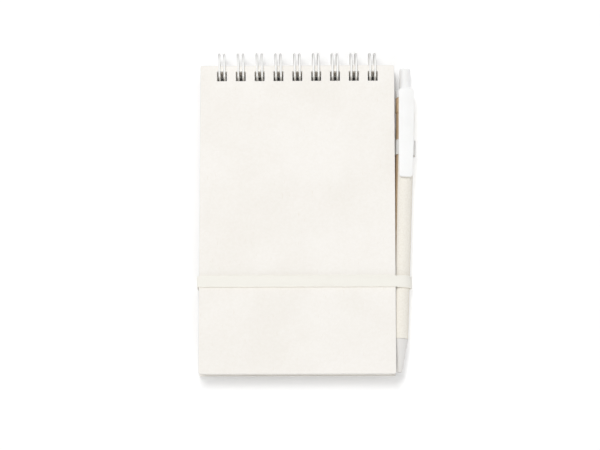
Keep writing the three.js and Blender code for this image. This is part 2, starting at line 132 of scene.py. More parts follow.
def scaled(code: str, shares: Point3) -> Colour:
    """A duller kind of a colour.

    Args:
        code: Six hexadecimal digits.
        shares: What is left of its red, green and blue.

    Returns:
        The colour as shaders take it.
    """
    red, green, blue = (channel * share for channel, share in zip(linear(code), shares))
    return (red, green, blue, 1.0)


# ---- Node trees ----


class Value:
    """A node's output, to which plain arithmetic adds Math nodes."""

    def __init__(self, sheet: "NodeSheet", socket: bpy.types.NodeSocket) -> None:
        """Keeps the output and the tree that it belongs to."""
        self.sheet = sheet
        self.socket = socket

    def math(self, operation: str, *others: "Value | float") -> "Value":
        """Adds one Math node that starts from this value.

        Args:
            operation: The Math node's operation.
            others: Its second and third inputs.

        Returns:
            The node's output.
        """
        return self.sheet.math(operation, self, *others)

    def __add__(self, other: "Value | float") -> "Value":
        """Sum."""
        return self.math("ADD", other)

    def __sub__(self, other: "Value | float") -> "Value":
        """Difference."""
        return self.math("SUBTRACT", other)

    def __rsub__(self, other: float) -> "Value":
        """Difference from a number."""
        return self.sheet.math("SUBTRACT", other, self)

    def __mul__(self, other: "Value | float") -> "Value":
        """Product."""
        return self.math("MULTIPLY", other)

    def __truediv__(self, other: "Value | float") -> "Value":
        """Quotient."""
        return self.math("DIVIDE", other)

    __radd__ = __add__
    __rmul__ = __mul__

    def between(self, low: float, high: float) -> "Value":
        """Rises smoothly from 0 at low to 1 at high.

        Args:
            low: Where the rise begins.
            high: Where it ends.

        Returns:
            The rise, from 0 to 1.
        """
        node = self.sheet.add("ShaderNodeMapRange", {"interpolation_type": "SMOOTHSTEP"},
                              {"Value": self, "From Min": low, "From Max": high})
        return Value(self.sheet, node.outputs[0])


class NodeSheet:
    """A node tree with one method that adds any node."""

    def __init__(self, tree: bpy.types.NodeTree) -> None:
        """Keeps the tree."""
        self.tree = tree

    def add(self, kind: str, settings: dict[str, object] | None = None,
            sockets: dict[str | int, object] | None = None) -> bpy.types.Node:
        """Adds a node.

        Args:
            kind: The node's type.
            settings: Its properties, which are set first.
            sockets: A value or a link for each input, by its name, identifier or number.

        Returns:
            The new node.
        """
        node = self.tree.nodes.new(kind)
        for name, value in (settings or {}).items():
            setattr(node, name, value)
        for key, value in (sockets or {}).items():
            self.feed(self._find(node, key), value)
        return node

    def value(self, kind: str, settings: dict[str, object] | None = None,
              sockets: dict[str | int, object] | None = None, output: str | int = 0) -> Value:
        """Adds a node, as add does, and returns one of its outputs."""
        return Value(self, self.add(kind, settings, sockets).outputs[output])

    def math(self, operation: str, *numbers: Value | float) -> Value:
        """Adds a Math node on two or three numbers."""
        return self.value("ShaderNodeMath", {"operation": operation}, dict(enumerate(numbers)))

    def mix(self, share: Value | float, first: object, second: object) -> Value:
        """Mixes two colours.

        Args:
            share: How much of the second colour shows.
            first: A colour, or a link to one.
            second: The other colour.

        Returns:
            The mixed colour.
        """
        node = self.add("ShaderNodeMix", {"data_type": "RGBA"},
                        {"Factor_Float": share, "A_Color": first, "B_Color": second})
        return Value(self, next(s for s in node.outputs if s.identifier == "Result_Color"))

    def noise(self, place: Value, cycles: float, detail: float = 2.0, roughness: float = 0.5) -> Value:
        """Smooth noise from 0 to 1 with that many cycles a metre."""
        return self.value("ShaderNodeTexNoise", {"noise_dimensions": "3D"},
                          {"Vector": place, "Scale": cycles, "Detail": detail, "Roughness": roughness})

    def split(self, place: Value) -> tuple[Value, Value, Value]:
        """The three numbers of a vector."""
        node = self.add("ShaderNodeSeparateXYZ", sockets={0: place})
        return tuple(Value(self, socket) for socket in node.outputs)

    def upright(self) -> Value:
        """How far the surface looks up or down: 1 on a level face, 0 on a cut edge."""
        return self.split(self.value("ShaderNodeNewGeometry", output="Normal"))[2].math("ABSOLUTE")

    def facing(self) -> Value:
        """0 where the surface faces the eye, rising to 1 where it turns away."""
        return self.value("ShaderNodeLayerWeight", output="Facing", sockets={"Blend": 0.5})

    def bump(self, height: Value, depth: float, strength: float) -> Value:
        """Turns heights from 0 to 1 into a normal, where 1 stands for the depth, in metres."""
        return self.value("ShaderNodeBump", sockets={"Strength": strength, "Distance": depth, "Height": height})

    def stretched(self, place: Value, scale: Point3, turn: float = 0.0) -> Value:
        """A place scaled along its axes, after a turn about Z, so that a noise on it is drawn out."""
        return self.value("ShaderNodeMapping", sockets={
            "Vector": place, "Rotation": (0.0, 0.0, turn), "Scale": scale})

    @staticmethod
    def _find(node: bpy.types.Node, key: str | int) -> bpy.types.NodeSocket:
        """Finds an input of a node.

        Args:
            node: The node.
            key: The input's number, or its identifier or name among those in use.

        Returns:
            The input.
        """
        if isinstance(key, int):
            return node.inputs[key]
        return next(s for s in node.inputs if s.enabled and key in (s.identifier, s.name))

    def feed(self, socket: bpy.types.NodeSocket, value: object) -> None:
        """Links an input, or sets its own value.

        Args:
            socket: The input.
            value: A link to another node's output, or a plain value.
        """
        if isinstance(value, Value):
            self.tree.links.new(value.socket, socket)
        elif isinstance(value, bpy.types.NodeSocket):
            self.tree.links.new(value, socket)
        else:
            socket.default_value = value


def blank(owner: bpy.types.Material | bpy.types.World) -> NodeSheet:
    """Empties the node tree of a material or a world.

    Args:
        owner: The material or the world.

    Returns:
        Its tree, with no nodes.
    """
    owner.use_nodes = True
    owner.node_tree.nodes.clear()
    return NodeSheet(owner.node_tree)


def stand(name: str, data: bpy.types.ID) -> bpy.types.Object:
    """Puts a new object in the scene.

    Args:
        name: Its name.
        data: Its mesh, lamp or camera.

    Returns:
        The object, at the origin.
    """
    made = bpy.data.objects.new(name, data)
    bpy.context.scene.collection.objects.link(made)
    return made


class GrowthTree(NodeSheet):
    """A Geometry Nodes tree with named inputs for its sizes."""

    def __init__(self, name: str, inputs: dict[str, str]) -> None:
        """Makes an empty tree.

        Args:
            name: The tree's name.
            inputs: The kind of socket for each named input.
        """
        tree = bpy.data.node_groups.new(name, "GeometryNodeTree")
        tree.interface.new_socket("Geometry", in_out="OUTPUT", socket_type="NodeSocketGeometry")
        for label, kind in inputs.items():
            tree.interface.new_socket(label, in_out="INPUT", socket_type="NodeSocket" + kind)
        super().__init__(tree)
        self.entry = self.add("NodeGroupInput")

    def input(self, label: str) -> Value:
        """One of the tree's own inputs."""
        return Value(self, self.entry.outputs[label])

    def row(self, count: Value, start: Value, step: Value) -> Value:
        """Points in a row, from the start, one step apart."""
        return self.value("GeometryNodeMeshLine", {"mode": "OFFSET"},
                          {"Count": count, "Offset": step, "Start Location": start})

    def along(self, axis: str, amount: Value) -> Value:
        """A vector of that length along X, Y or Z."""
        return self.value("ShaderNodeCombineXYZ", sockets={axis: amount})

    def join(self, first: Value, second: Value) -> bpy.types.NodeSocket:
        """Puts two geometries together.

        Args:
            first: One of them.
            second: The other.

        Returns:
            Both as one.
        """
        node = self.add("GeometryNodeJoinGeometry", sockets={0: first})
        self.tree.links.new(second.socket, node.inputs[0])
        return node.outputs[0]

    def sweep(self, line: Value) -> Value:
        """Sweeps a round wire along a line, by the tree's inputs for its radius and sides.

        Args:
            line: The wire's middle line.

        Returns:
            The wire, with closed ends.
        """
        section = self.value("GeometryNodeCurvePrimitiveCircle", sockets={
            "Resolution": self.input("Wire Sides"), "Radius": self.input("Wire Radius")})
        return self.value("GeometryNodeCurveToMesh", sockets={
            "Curve": line, "Profile Curve": section, "Fill Caps": True})

    def close(self, geometry: Value) -> "GrowthTree":
        """Ends the tree with real geometry that wears the material input.

        Args:
            geometry: What the tree has made.

        Returns:
            The tree itself.
        """
        real = self.value("GeometryNodeRealizeInstances", sockets={0: geometry})
        dressed = self.value("GeometryNodeSetMaterial", sockets={"Geometry": real, "Material": self.input("Material")})
        self.add("NodeGroupOutput", sockets={0: dressed})
        return self

    def grow(self, name: str, values: dict[str, object], base: bpy.types.Mesh | None = None) -> bpy.types.Object:
        """Runs the tree once and keeps its result as a plain mesh.

        Args:
            name: The new object's name.
            values: A value for each of the tree's inputs.
            base: The mesh that the tree starts from, if it takes one.

        Returns:
            An object at the origin with no modifier.
        """
        host = stand(name, base or bpy.data.meshes.new(name + "_seed"))
        modifier = host.modifiers.new("growth", "NODES")
        modifier.node_group = self.tree
        for item in self.tree.interface.items_tree:
            if item.in_out == "INPUT" and item.name in values:
                modifier[item.identifier] = values[item.name]
        graph = bpy.context.evaluated_depsgraph_get()
        mesh = bpy.data.meshes.new_from_object(host.evaluated_get(graph), depsgraph=graph)
        host.modifiers.remove(modifier)
        host.data = mesh
        mesh.name = name
        return host


# ---- Finishes ----


@dataclass(frozen=True)
class Finish:
    """What every finish has: a name, and one surface shader."""

    name: str
    colour: str

    def material(self) -> bpy.types.Material:
        """Makes the finish's material the first time, and finds it again after that.

        Returns:
            The material.
        """
        title = f"{self.name}_finish"
        known = bpy.data.materials.get(title)
        if known is not None:
            return known
        material = bpy.data.materials.new(title)
        material.diffuse_color = linear(self.colour)
        sheet = blank(material)
        surface = sheet.add("ShaderNodeBsdfPrincipled")
        sheet.add("ShaderNodeOutputMaterial", sockets={"Surface": surface.outputs[0]})
        self.paint(sheet, surface)
        return material

    def paint(self, sheet: NodeSheet, surface: bpy.types.Node) -> None:
        """Sets and links the surface's sockets."""
        raise NotImplementedError

    @staticmethod
    def link(sheet: NodeSheet, surface: bpy.types.Node, sockets: dict[str, object]) -> None:
        """Gives each named socket of the surface its value or link."""
        for name, value in sockets.items():
            sheet.feed(surface.inputs[name], value)

    @staticmethod
    def place(sheet: NodeSheet, pen: "PenPlace | None" = None) -> Value:
        """Where a point of the surface lies, in metres.

        Args:
            sheet: The material's tree.
            pen: The pen, for a place in the pen's own frame and not in the row's.

        Returns:
            The place.
        """
        spot = sheet.value("ShaderNodeTexCoord", output="Object")
        if pen is None:
            return spot
        return sheet.value("ShaderNodeMapping", {"vector_type": "TEXTURE"},
                           {"Vector": spot, "Location": pen.tip, "Rotation": (0.0, 0.0, -pen.lean)})


@dataclass(frozen=True)
class PenPlace:
    """Where the pen lies: its tip, and how far its axis leans from Y towards X."""

    tip: Vector
    lean: float

    @property
    def matrix(self) -> Matrix:
        """Turns the pen's own frame, with its axis along Y, into the row's."""
        return Matrix.Translation(self.tip) @ Matrix.Rotation(-self.lean, 4, "Z")


@dataclass(frozen=True)
class BoardFinish(Finish):
    """Uncoated cream board: clouded, finely felted, with a layered cut edge."""

    shade_colour: str = "f5f1ea"
    fibre_colour: str = "e4dac9"
    edge_colour: str = "efebe4"
    ply_colour: str = "f8f5ef"
    ply_height: float = 0.0003
    felt_depth: float = 0.00006
    cloud_cycles: float = 38.0
    felt_cycles: float = 900.0
    grain_cycles: float = 4200.0
    fibre_cycles: float = 1680.0
    fibre_stretch: float = 0.16
    fibre_turn: float = 0.6
    fibre_share: float = 0.25
    roughness: float = 0.78

    def paint(self, sheet: NodeSheet, surface: bpy.types.Node) -> None:
        """Clouds and fibres on the faces, plies along the cut edges.

        Args:
            sheet: The material's tree.
            surface: Its surface shader.
        """
        spot = self.place(sheet)
        cloud = sheet.noise(spot, self.cloud_cycles, 3.0)
        felt = sheet.noise(spot, self.felt_cycles, 3.0, 0.6)
        grain = sheet.noise(spot, self.grain_cycles, 2.0)
        drawn_out = sheet.stretched(spot, (1.0, self.fibre_stretch, 1.0), self.fibre_turn)
        fibres = sheet.noise(drawn_out, self.fibre_cycles, 1.0).between(0.7, 0.78)
        tone = cloud.between(0.3, 0.7) * 0.55 + felt.between(0.25, 0.75) * 0.45
        face = sheet.mix(tone, linear(self.shade_colour), linear(self.colour))
        face = sheet.mix(fibres * self.fibre_share, face, linear(self.fibre_colour))
        plies = (sheet.split(spot)[2] * (2 * math.pi / self.ply_height)).math("SINE") * 0.5 + 0.5
        edge = sheet.mix(plies * 0.5, linear(self.edge_colour), linear(self.ply_colour))
        self.link(sheet, surface, {
            "Base Color": sheet.mix(sheet.upright().between(0.2, 0.6), edge, face),
            "Roughness": felt * 0.12 + self.roughness,
            "Specular IOR Level": 0.3,
            "Normal": sheet.bump(felt * 0.6 + grain * 0.4, self.felt_depth, 0.5),
        })


@dataclass(frozen=True)
class SheetFinish(Finish):
    """Writing paper in a stack: each sheet has a tone of its own and a fine grain, and the walls of its holes are
    painted darker, a painted shade.
    """

    sheet_step: float
    base_height: float
    holes_from: float
    hole_length: float
    shade_colour: str = "f0ece5"
    # Painted shade: the colour that darkens the walls of the holes.
    painted_hole_shade_colour: str = "ded5c8"
    grain_cycles: float = 2600.0
    cloud_cycles: float = 60.0
    grain_depth: float = 0.00002
    roughness: float = 0.85
    safe_share: float = 0.25

    def paint(self, sheet: NodeSheet, surface: bpy.types.Node) -> None:
        """Tones by the sheet's number, counted from the lowest, and painted shade that darkens the walls of the holes.

        Args:
            sheet: The material's tree.
            surface: Its surface shader.
        """
        spot = self.place(sheet)
        _, y, z = sheet.split(spot)
        number = ((z - self.base_height) / self.sheet_step + self.safe_share).math("FLOOR")
        tone = sheet.value("ShaderNodeTexWhiteNoise", {"noise_dimensions": "1D"}, {"W": number})
        grain = sheet.noise(spot, self.grain_cycles, 2.0)
        cloud = sheet.noise(spot, self.cloud_cycles, 2.0)
        shade = tone * 0.6 + grain * 0.2 + cloud * 0.2
        # Painted shade: upright faces within the row of holes, the walls where shade falls, are darkened.
        hole_wall_shade = (1.0 - sheet.upright().between(0.3, 0.7)) * y.between(self.holes_from - 0.1 * MM, self.holes_from)
        holes_to = self.holes_from + self.hole_length
        hole_wall_shade = hole_wall_shade * (1.0 - y.between(holes_to, holes_to + 0.2 * MM))
        face = sheet.mix(shade, linear(self.shade_colour), linear(self.colour))
        self.link(sheet, surface, {
            "Base Color": sheet.mix(hole_wall_shade, face, linear(self.painted_hole_shade_colour)),
            "Roughness": grain * 0.1 + self.roughness,
            "Specular IOR Level": 0.25,
            "Normal": sheet.bump(grain, self.grain_depth, 0.4),
        })


@dataclass(frozen=True)
class CoatedWireFinish(Finish):
    """White nylon coat on steel wire: satin, a little uneven, with faint rubbed spots."""

    rubbed_colour: str = "d3d2cf"
    # Painted shade: the grey that darkens the wire's outline where it turns from view.
    painted_edge_shade_colour: str = "b4b4b1"
    # Painted light: the glow that lightens the wire inside the holes.
    painted_hole_glow: Colour = (0.22, 0.215, 0.205, 1.0)
    peel_cycles: float = 2200.0
    rub_cycles: float = 260.0
    peel_depth: float = 0.00002
    painted_edge_shade_share: float = 0.55
    roughness: float = 0.42
    holes_edge: Point2 = (0.063, 0.0645)
    holes_foot: Point2 = (0.003, 0.004)
    holes_head: Point2 = (0.0103, 0.0108)

    def paint(self, sheet: NodeSheet, surface: bpy.types.Node) -> None:
        """An orange-peel relief, rubbed spots, painted shade that greys the wire's outline where it turns from view,
        and painted light, a glow that lightens the wire inside the holes.

        Args:
            sheet: The material's tree.
            surface: Its surface shader.
        """
        spot = self.place(sheet)
        _, y, z = sheet.split(spot)
        in_holes = (1.0 - y.between(*self.holes_edge)) * (1.0 - z.between(*self.holes_head))
        in_holes = in_holes * z.between(*self.holes_foot)
        peel = sheet.noise(spot, self.peel_cycles, 1.0)
        rub = sheet.noise(spot, self.rub_cycles, 3.0, 0.6).between(0.6, 0.75)
        coat = sheet.mix(rub * 0.4, linear(self.colour), linear(self.rubbed_colour))
        self.link(sheet, surface, {
            # Painted shade: the outline greys as the surface turns from view.
            "Base Color": sheet.mix(sheet.facing().between(0.15, 0.7) * self.painted_edge_shade_share, coat, linear(self.painted_edge_shade_colour)),
            "Roughness": self.roughness - rub * 0.14 + peel * 0.06,
            "Coat Weight": rub * 0.15 + 0.1,
            "Coat Roughness": 0.2,
            # Painted light: the wire glows inside the holes, though it is no lamp.
            "Emission Color": sheet.mix(in_holes, BLACK, self.painted_hole_glow),
            "Emission Strength": 1.0,
            "Normal": sheet.bump(peel, self.peel_depth, 0.35),
        })


class Weave(Enum):
    """How a strap is woven: the width of a lengthways rib and the step of its cross threads, in millimetres."""

    BRAIDED_ELASTIC = (0.5, 0.42)
    FLAT_RIBBON = (0.36, 0.3)


@dataclass(frozen=True)
class WovenFinish(Finish):
    """A woven strap. It reads the UV map, which holds metres along the strap and across it."""

    # Painted shade in the grooves between ribs, and the colour of worn patches.
    groove_shade_and_wear_colour: str = "d9d4c8"
    weave: Weave = Weave.BRAIDED_ELASTIC
    depth: float = 0.00012
    fuzz_cycles: float = 5200.0
    wear_cycles: float = 160.0
    wear_share: float = 0.25
    roughness: float = 0.82

    def paint(self, sheet: NodeSheet, surface: bpy.types.Node) -> None:
        """Ribs along the strap, and cross threads that pass over every second rib. The grooves are painted darker, a
        painted shade, and worn patches are darker too.

        Args:
            sheet: The material's tree.
            surface: Its surface shader.
        """
        rib, step = self.weave.value
        along, across, _ = sheet.split(sheet.value("ShaderNodeTexCoord", output="UV"))
        turns = across / (rib * MM)
        odd = turns.math("FLOOR").math("MODULO", 2.0).math("ABSOLUTE")
        ribs = (turns * math.pi).math("SINE").math("ABSOLUTE").math("POWER", 0.6)
        threads = ((along / (step * MM) + odd * 0.5) * (2 * math.pi)).math("SINE") * 0.5 + 0.5
        fuzz = sheet.noise(self.place(sheet), self.fuzz_cycles, 2.0)
        relief = ribs * 0.62 + threads * ribs * 0.3 + fuzz * 0.08
        wear = sheet.noise(self.place(sheet), self.wear_cycles, 2.0)
        # Painted shade: the grooves, low in the relief, are darker; worn patches take the same colour.
        colour = sheet.mix(relief.between(0.12, 0.62), linear(self.groove_shade_and_wear_colour), linear(self.colour))
        colour = sheet.mix(wear.between(0.55, 0.8) * self.wear_share, colour, linear(self.groove_shade_and_wear_colour))
        self.link(sheet, surface, {
            "Base Color": colour,
            "Roughness": fuzz * 0.1 + self.roughness,
            "Specular IOR Level": 0.2,
            "Sheen Weight": 0.25,
            "Sheen Roughness": 0.5,
            "Normal": sheet.bump(relief, self.depth, 0.8),
        })


@dataclass(frozen=True)
class PlasticFinish(Finish):
    """Moulded plastic: a fine spark-eroded grain and a few hairline scratches along the pen."""

    pen: PenPlace | None = None
    roughness: float = 0.36
    grain_cycles: float = 3000.0
    grain_depth: float = 0.000012
    # Painted light: how far the colour turns to white where the surface turns from view.
    painted_edge_light: float = 0.0
    scratch_cycles: float = 2400.0
    scratch_stretch: float = 0.05
    shade_shares: Point3 = (0.97, 0.97, 0.965)
    flow_cycles: float = 120.0
    scatter: Point3 = (0.001, 0.0009, 0.0008)

    def paint(self, sheet: NodeSheet, surface: bpy.types.Node) -> None:
        """Grain in the relief, scratches in the gloss, and painted light that whitens the colour where the surface
        turns from view.

        Args:
            sheet: The material's tree.
            surface: Its surface shader.
        """
        spot = self.place(sheet, self.pen)
        grain = sheet.noise(spot, self.grain_cycles, 2.0)
        drawn_out = sheet.stretched(spot, (1.0, self.scratch_stretch, 1.0))
        lines = sheet.noise(drawn_out, self.scratch_cycles, 1.0).between(0.7, 0.76)
        flow = sheet.noise(spot, self.flow_cycles, 2.0)
        body = sheet.mix(flow.between(0.3, 0.7), scaled(self.colour, self.shade_shares), linear(self.colour))
        self.link(sheet, surface, {
            # Painted light: lighter towards white where the surface turns from view.
            "Base Color": sheet.mix(sheet.facing().between(0.02, 0.35) * self.painted_edge_light, body, WHITE),
            "Roughness": grain * 0.08 + self.roughness + lines * 0.15,
            "Coat Weight": 0.06,
            "Coat Roughness": 0.15,
            "Subsurface Weight": 0.05,
            "Subsurface Radius": self.scatter,
            "Normal": sheet.bump(grain - lines * 0.3, self.grain_depth, 0.5),
        })


@dataclass(frozen=True)
class RolledCartonFinish(Finish):
    """A tube rolled from cream card, whose brown inner ply shows in a strip along its lap."""

    pen: PenPlace
    shade_colour: str = "f2ede2"
    ply_colour: str = "e8cfae"
    ply_shade: str = "cdae88"
    strip_from: float = math.radians(43)
    strip_to: float = math.radians(104)
    strip_border: float = 0.02
    strip_raggedness: float = 0.05
    fibre_cycles: float = 2600.0
    fibre_stretch: float = 0.14
    felt_cycles: float = 1500.0
    felt_depth: float = 0.00005
    roughness: float = 0.78

    def paint(self, sheet: NodeSheet, surface: bpy.types.Node) -> None:
        """Cream outside the strip, brown in it, by the angle from the tube's top towards the covers.

        Args:
            sheet: The material's tree.
            surface: Its surface shader.
        """
        spot = self.place(sheet, self.pen)
        across, along, up = sheet.split(spot)
        turn = (across * -1.0).math("ARCTAN2", up)
        drawn_out = sheet.stretched(spot, (1.0, self.fibre_stretch, 1.0))
        fibres = sheet.noise(drawn_out, self.fibre_cycles, 3.0, 0.6)
        felt = sheet.noise(spot, self.felt_cycles, 2.0)
        ragged = turn + (felt - 0.5) * self.strip_raggedness
        begun, over = (ragged.between(limit - self.strip_border, limit + self.strip_border)
                       for limit in (self.strip_from, self.strip_to))
        strip = begun * (1.0 - over)
        cream = sheet.mix(felt.between(0.2, 0.8), linear(self.shade_colour), linear(self.colour))
        brown = sheet.mix(fibres.between(0.25, 0.75), linear(self.ply_shade), linear(self.ply_colour))
        self.link(sheet, surface, {
            "Base Color": sheet.mix(strip, cream, brown),
            "Roughness": felt * 0.1 + self.roughness,
            "Specular IOR Level": 0.3,
            "Normal": sheet.bump(felt * 0.5 + fibres * 0.5, self.felt_depth, 0.5),
        })


@dataclass(frozen=True)
class MetalFinish(Finish):
    """Turned or drawn metal: fine rings round the pen's axis and a faint tarnish."""

    pen: PenPlace
    roughness: float = 0.24
    ring_cycles: float = 9000.0
    ring_stretch: float = 0.05
    ring_depth: float = 0.00001
    tarnish_cycles: float = 700.0
    tarnish_shares: Point3 = (0.62, 0.6, 0.55)

    def paint(self, sheet: NodeSheet, surface: bpy.types.Node) -> None:
        """Rings in the relief, tarnish in the colour and the gloss.

        Args:
            sheet: The material's tree.
            surface: Its surface shader.
        """
        spot = self.place(sheet, self.pen)
        drawn_out = sheet.stretched(spot, (self.ring_stretch, 1.0, self.ring_stretch))
        lines = sheet.noise(drawn_out, self.ring_cycles, 2.0)
        tarnish = sheet.noise(spot, self.tarnish_cycles, 3.0, 0.6).between(0.45, 0.8)
        self.link(sheet, surface, {
            "Base Color": sheet.mix(tarnish * 0.5, linear(self.colour), scaled(self.colour, self.tarnish_shares)),
            "Metallic": 1.0,
            "Roughness": lines * 0.12 + tarnish * 0.15 + self.roughness,
            "Normal": sheet.bump(lines, self.ring_depth, 0.4),
        })


# ---- Meshes ----


def keep(name: str, source: bmesh.types.BMesh, smooth: float | None = 40.0) -> bpy.types.Object:
    """Makes an object of a finished bmesh.

    Args:
        name: The object's name.
        source: The mesh, which is freed.
        smooth: Edges that turn by less than this many degrees are shaded smooth. None leaves all flat.

    Returns:
        The object, at the origin.
    """
    mesh = bpy.data.meshes.new(name)
    source.to_mesh(mesh)
    source.free()
    if smooth is not None:
        mesh.shade_smooth()
        mesh.set_sharp_from_angle(angle=math.radians(smooth))
    return stand(name, mesh)


@contextmanager
def edited(piece: bpy.types.Object) -> Iterator[bmesh.types.BMesh]:
    """Opens a piece's mesh for changes, and writes them back at the end.

    Args:
        piece: The piece.

    Yields:
        Its mesh.
    """
    source = bmesh.new()
    source.from_mesh(piece.data)
    yield source
    source.to_mesh(piece.data)
    source.free()


def face_out(source: bmesh.types.BMesh) -> None:
    """Merges doubled corners and turns every face of the closed mesh outwards."""
    bmesh.ops.remove_doubles(source, verts=source.verts[:], dist=WELD_DISTANCE)
    bmesh.ops.recalc_face_normals(source, faces=source.faces[:])


def eased(corners: Sequence[Point3], steps: int = 4) -> list[Point2]:
    """Rounds the corners of a closed outline.

    Args:
        corners: Each corner's two coordinates and the length that its rounding takes of each side.
        steps: How many edges a rounding has.

    Returns:
        The outline's points.
    """
    points: list[Point2] = []
    for i, (x, y, reach) in enumerate(corners):
        corner = Vector((x, y))
        if reach <= 0:
            points.append((x, y))
            continue
        before = Vector(corners[i - 1][:2])
        after = Vector(corners[(i + 1) % len(corners)][:2])
        start = corner + (before - corner).normalized() * reach
        end = corner + (after - corner).normalized() * reach
        for k in range(steps + 1):
            t = k / steps
            spot = start * (1 - t) ** 2 + corner * (2 * t * (1 - t)) + end * t ** 2
            points.append((spot.x, spot.y))
    return points


def turned(profile: Sequence[Point2], segments: int = 96,
           swell: Callable[[float, float, float], float] | None = None) -> bmesh.types.BMesh:
    """Turns a closed profile about the Y axis.

    Args:
        profile: Radius and height along the axis of each corner, in millimetres.
        segments: How many steps the turn has.
        swell: What to add to a radius at that radius, height and angle from Z towards -X.

    Returns:
        The closed mesh, in metres.
    """
    made = bmesh.new()
    rings = []
    for radius, along in profile:
        if radius < ON_AXIS:
            rings.append([made.verts.new((0.0, along * MM, 0.0))] * segments)
            continue
        ring = []
        for k in range(segments):
            turn = 2 * math.pi * k / segments
            reach = (radius + (swell(radius, along, turn) if swell else 0.0)) * MM
            ring.append(made.verts.new((-reach * math.sin(turn), along * MM, reach * math.cos(turn))))
        rings.append(ring)
    for first, second in zip(rings, rings[1:] + rings[:1]):
        for k in range(segments):
            after = (k + 1) % segments
            corners = list(dict.fromkeys((first[k], first[after], second[after], second[k])))
            if len(corners) > 2:
                made.faces.new(corners)
    face_out(made)
    return made


def slab(outline: Sequence[Point2], low: float, high: float, ease: float) -> bmesh.types.BMesh:
    """Makes a plate of an outline in the XY plane.

    Args:
        outline: Its corners, in millimetres.
        low: The height of its underside.
        high: The height of its top.
        ease: The width of the bevel round both faces.

    Returns:
        The closed mesh, in metres.
    """
    made = bmesh.new()
    base = made.faces.new([made.verts.new((x * MM, y * MM, low * MM)) for x, y in outline])
    raised = bmesh.ops.extrude_face_region(made, geom=[base])["geom"]
    tops = [v for v in raised if isinstance(v, bmesh.types.BMVert)]
    bmesh.ops.translate(made, verts=tops, vec=(0.0, 0.0, (high - low) * MM))
    face_out(made)
    rims = [e for e in made.edges if abs(e.verts[0].co.z - e.verts[1].co.z) < SAME_HEIGHT]
    bmesh.ops.bevel(made, geom=rims, offset=ease * MM, segments=3, profile=0.5, affect="EDGES")
    return made


def joined(parts: Sequence[bmesh.types.BMesh]) -> bmesh.types.BMesh:
    """Puts several meshes into one.

    Args:
        parts: The meshes, which are freed.

    Returns:
        One mesh of them all.
    """
    whole = bmesh.new()
    for part in parts:
        scratch = bpy.data.meshes.new("scratch")
        part.to_mesh(scratch)
        part.free()
        whole.from_mesh(scratch)
        bpy.data.meshes.remove(scratch)
    return whole


@dataclass(frozen=True)
class StrapPath:
    """The middle line of a strap, drawn in X and Z, with the way out of its upper face at each point."""

    points: list[Vector]
    outs: list[Vector]
    closed: bool

    def strap(self, width: float, thickness: float, ease: float,
              spread: Callable[[Vector], float] | None = None) -> bmesh.types.BMesh:
        """Sweeps a flat section with soft edges along the line.

        Args:
            width: The strap's width, in millimetres, as all of these.
            thickness: Its thickness.
            ease: The rounding of its edges.
            spread: How many times as wide the strap is at a point.

        Returns:
            The closed mesh, in metres, with metres along and across in its UV map.
        """
        half, rise = width / 2, thickness / 2
        section = eased([(-half, -rise, ease), (half, -rise, ease), (half, rise, ease),
                         (0, rise * STRAP_CROWN, 0), (-half, rise, ease)])
        made = bmesh.new()
        grid = made.loops.layers.uv.new("UVMap")
        rings, runs = [], [0.0]
        for i, (point, out) in enumerate(zip(self.points, self.outs)):
            scale = spread(point) if spread else 1.0
            rings.append([made.verts.new(Vector((point.x + out.x * up, across * scale, point.y + out.y * up)) * MM)
                          for across, up in section])
            runs.append(runs[-1] + (self.points[(i + 1) % len(self.points)] - point).length)
        count = len(rings) if self.closed else len(rings) - 1
        for i in range(count):
            first, second = rings[i], rings[(i + 1) % len(rings)]
            for k in range(len(section)):
                after = (k + 1) % len(section)
                face = made.faces.new((first[k], first[after], second[after], second[k]))
                places = ((i, k), (i, after), (i + 1, after), (i + 1, k))
                for loop, (run, corner) in zip(face.loops, places):
                    loop[grid].uv = (runs[run] * MM, (section[corner][0] + half) * MM)
        if not self.closed:
            made.faces.new(rings[0])
            made.faces.new(rings[-1])
        bmesh.ops.recalc_face_normals(made, faces=made.faces[:])
        return made


def belt(circles: Sequence[Point3], off: float, corner_step: float = 6.0,
         longest: float = 2.0) -> StrapPath:
    """The line of a belt pulled round circles.

    Args:
        circles: Their centres and radii, anticlockwise, in millimetres.
        off: How far the line stands off the circles.
        corner_step: The most degrees that one step of an arc turns.
        longest: The longest step of a straight run.

    Returns:
        The closed line.
    """
    leaving = []
    for (x, y, radius), (next_x, next_y, next_radius) in zip(circles, circles[1:] + circles[:1]):
        way = Vector((next_x - x, next_y - y))
        leaving.append(math.atan2(way.y, way.x) - math.acos((radius - next_radius) / way.length))
    points: list[Vector] = []
    outs: list[Vector] = []
    for i, (x, y, radius) in enumerate(circles):
        start, end = leaving[i - 1], leaving[i]
        end += 2 * math.pi if end < start else 0.0
        steps = max(2, math.ceil(math.degrees(end - start) / corner_step))
        for k in range(steps + 1):
            turn = start + (end - start) * k / steps
            out = Vector((math.cos(turn), math.sin(turn)))
            points.append(Vector((x, y)) + out * (radius + off))
            outs.append(out)
        next_x, next_y, next_radius = circles[(i + 1) % len(circles)]
        far = Vector((next_x, next_y)) + out * (next_radius + off)
        parts = math.ceil((far - points[-1]).length / longest)
        near = points[-1]
        for k in range(1, parts):
            points.append(near.lerp(far, k / parts))
            outs.append(out)
    return StrapPath(points, outs, True)


# ---- Sub-assemblies ----


class SubAssembly:
    """What every sub-assembly shares: how a finished piece is handed over."""

    @staticmethod
    def hand_over(piece: bpy.types.Object, finish: Finish, body: Body | str, slot: str,
                  nodes: Sequence[str]) -> None:
        """Dresses a piece, puts it on its body and has it stand for its CAD nodes.

        Args:
            piece: The finished piece.
            finish: Its finish.
            body: The body that it rides on.
            slot: The record's material slot; not used.
            nodes: The CAD nodes that it stands for.
        """
        if not piece.data.materials:
            piece.data.materials.append(finish.material())
        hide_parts(*nodes)
        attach(piece, body.value if isinstance(body, Body) else body)
        LOG.info("%s: %d faces, %s", piece.name, len(piece.data.polygons), finish.name)


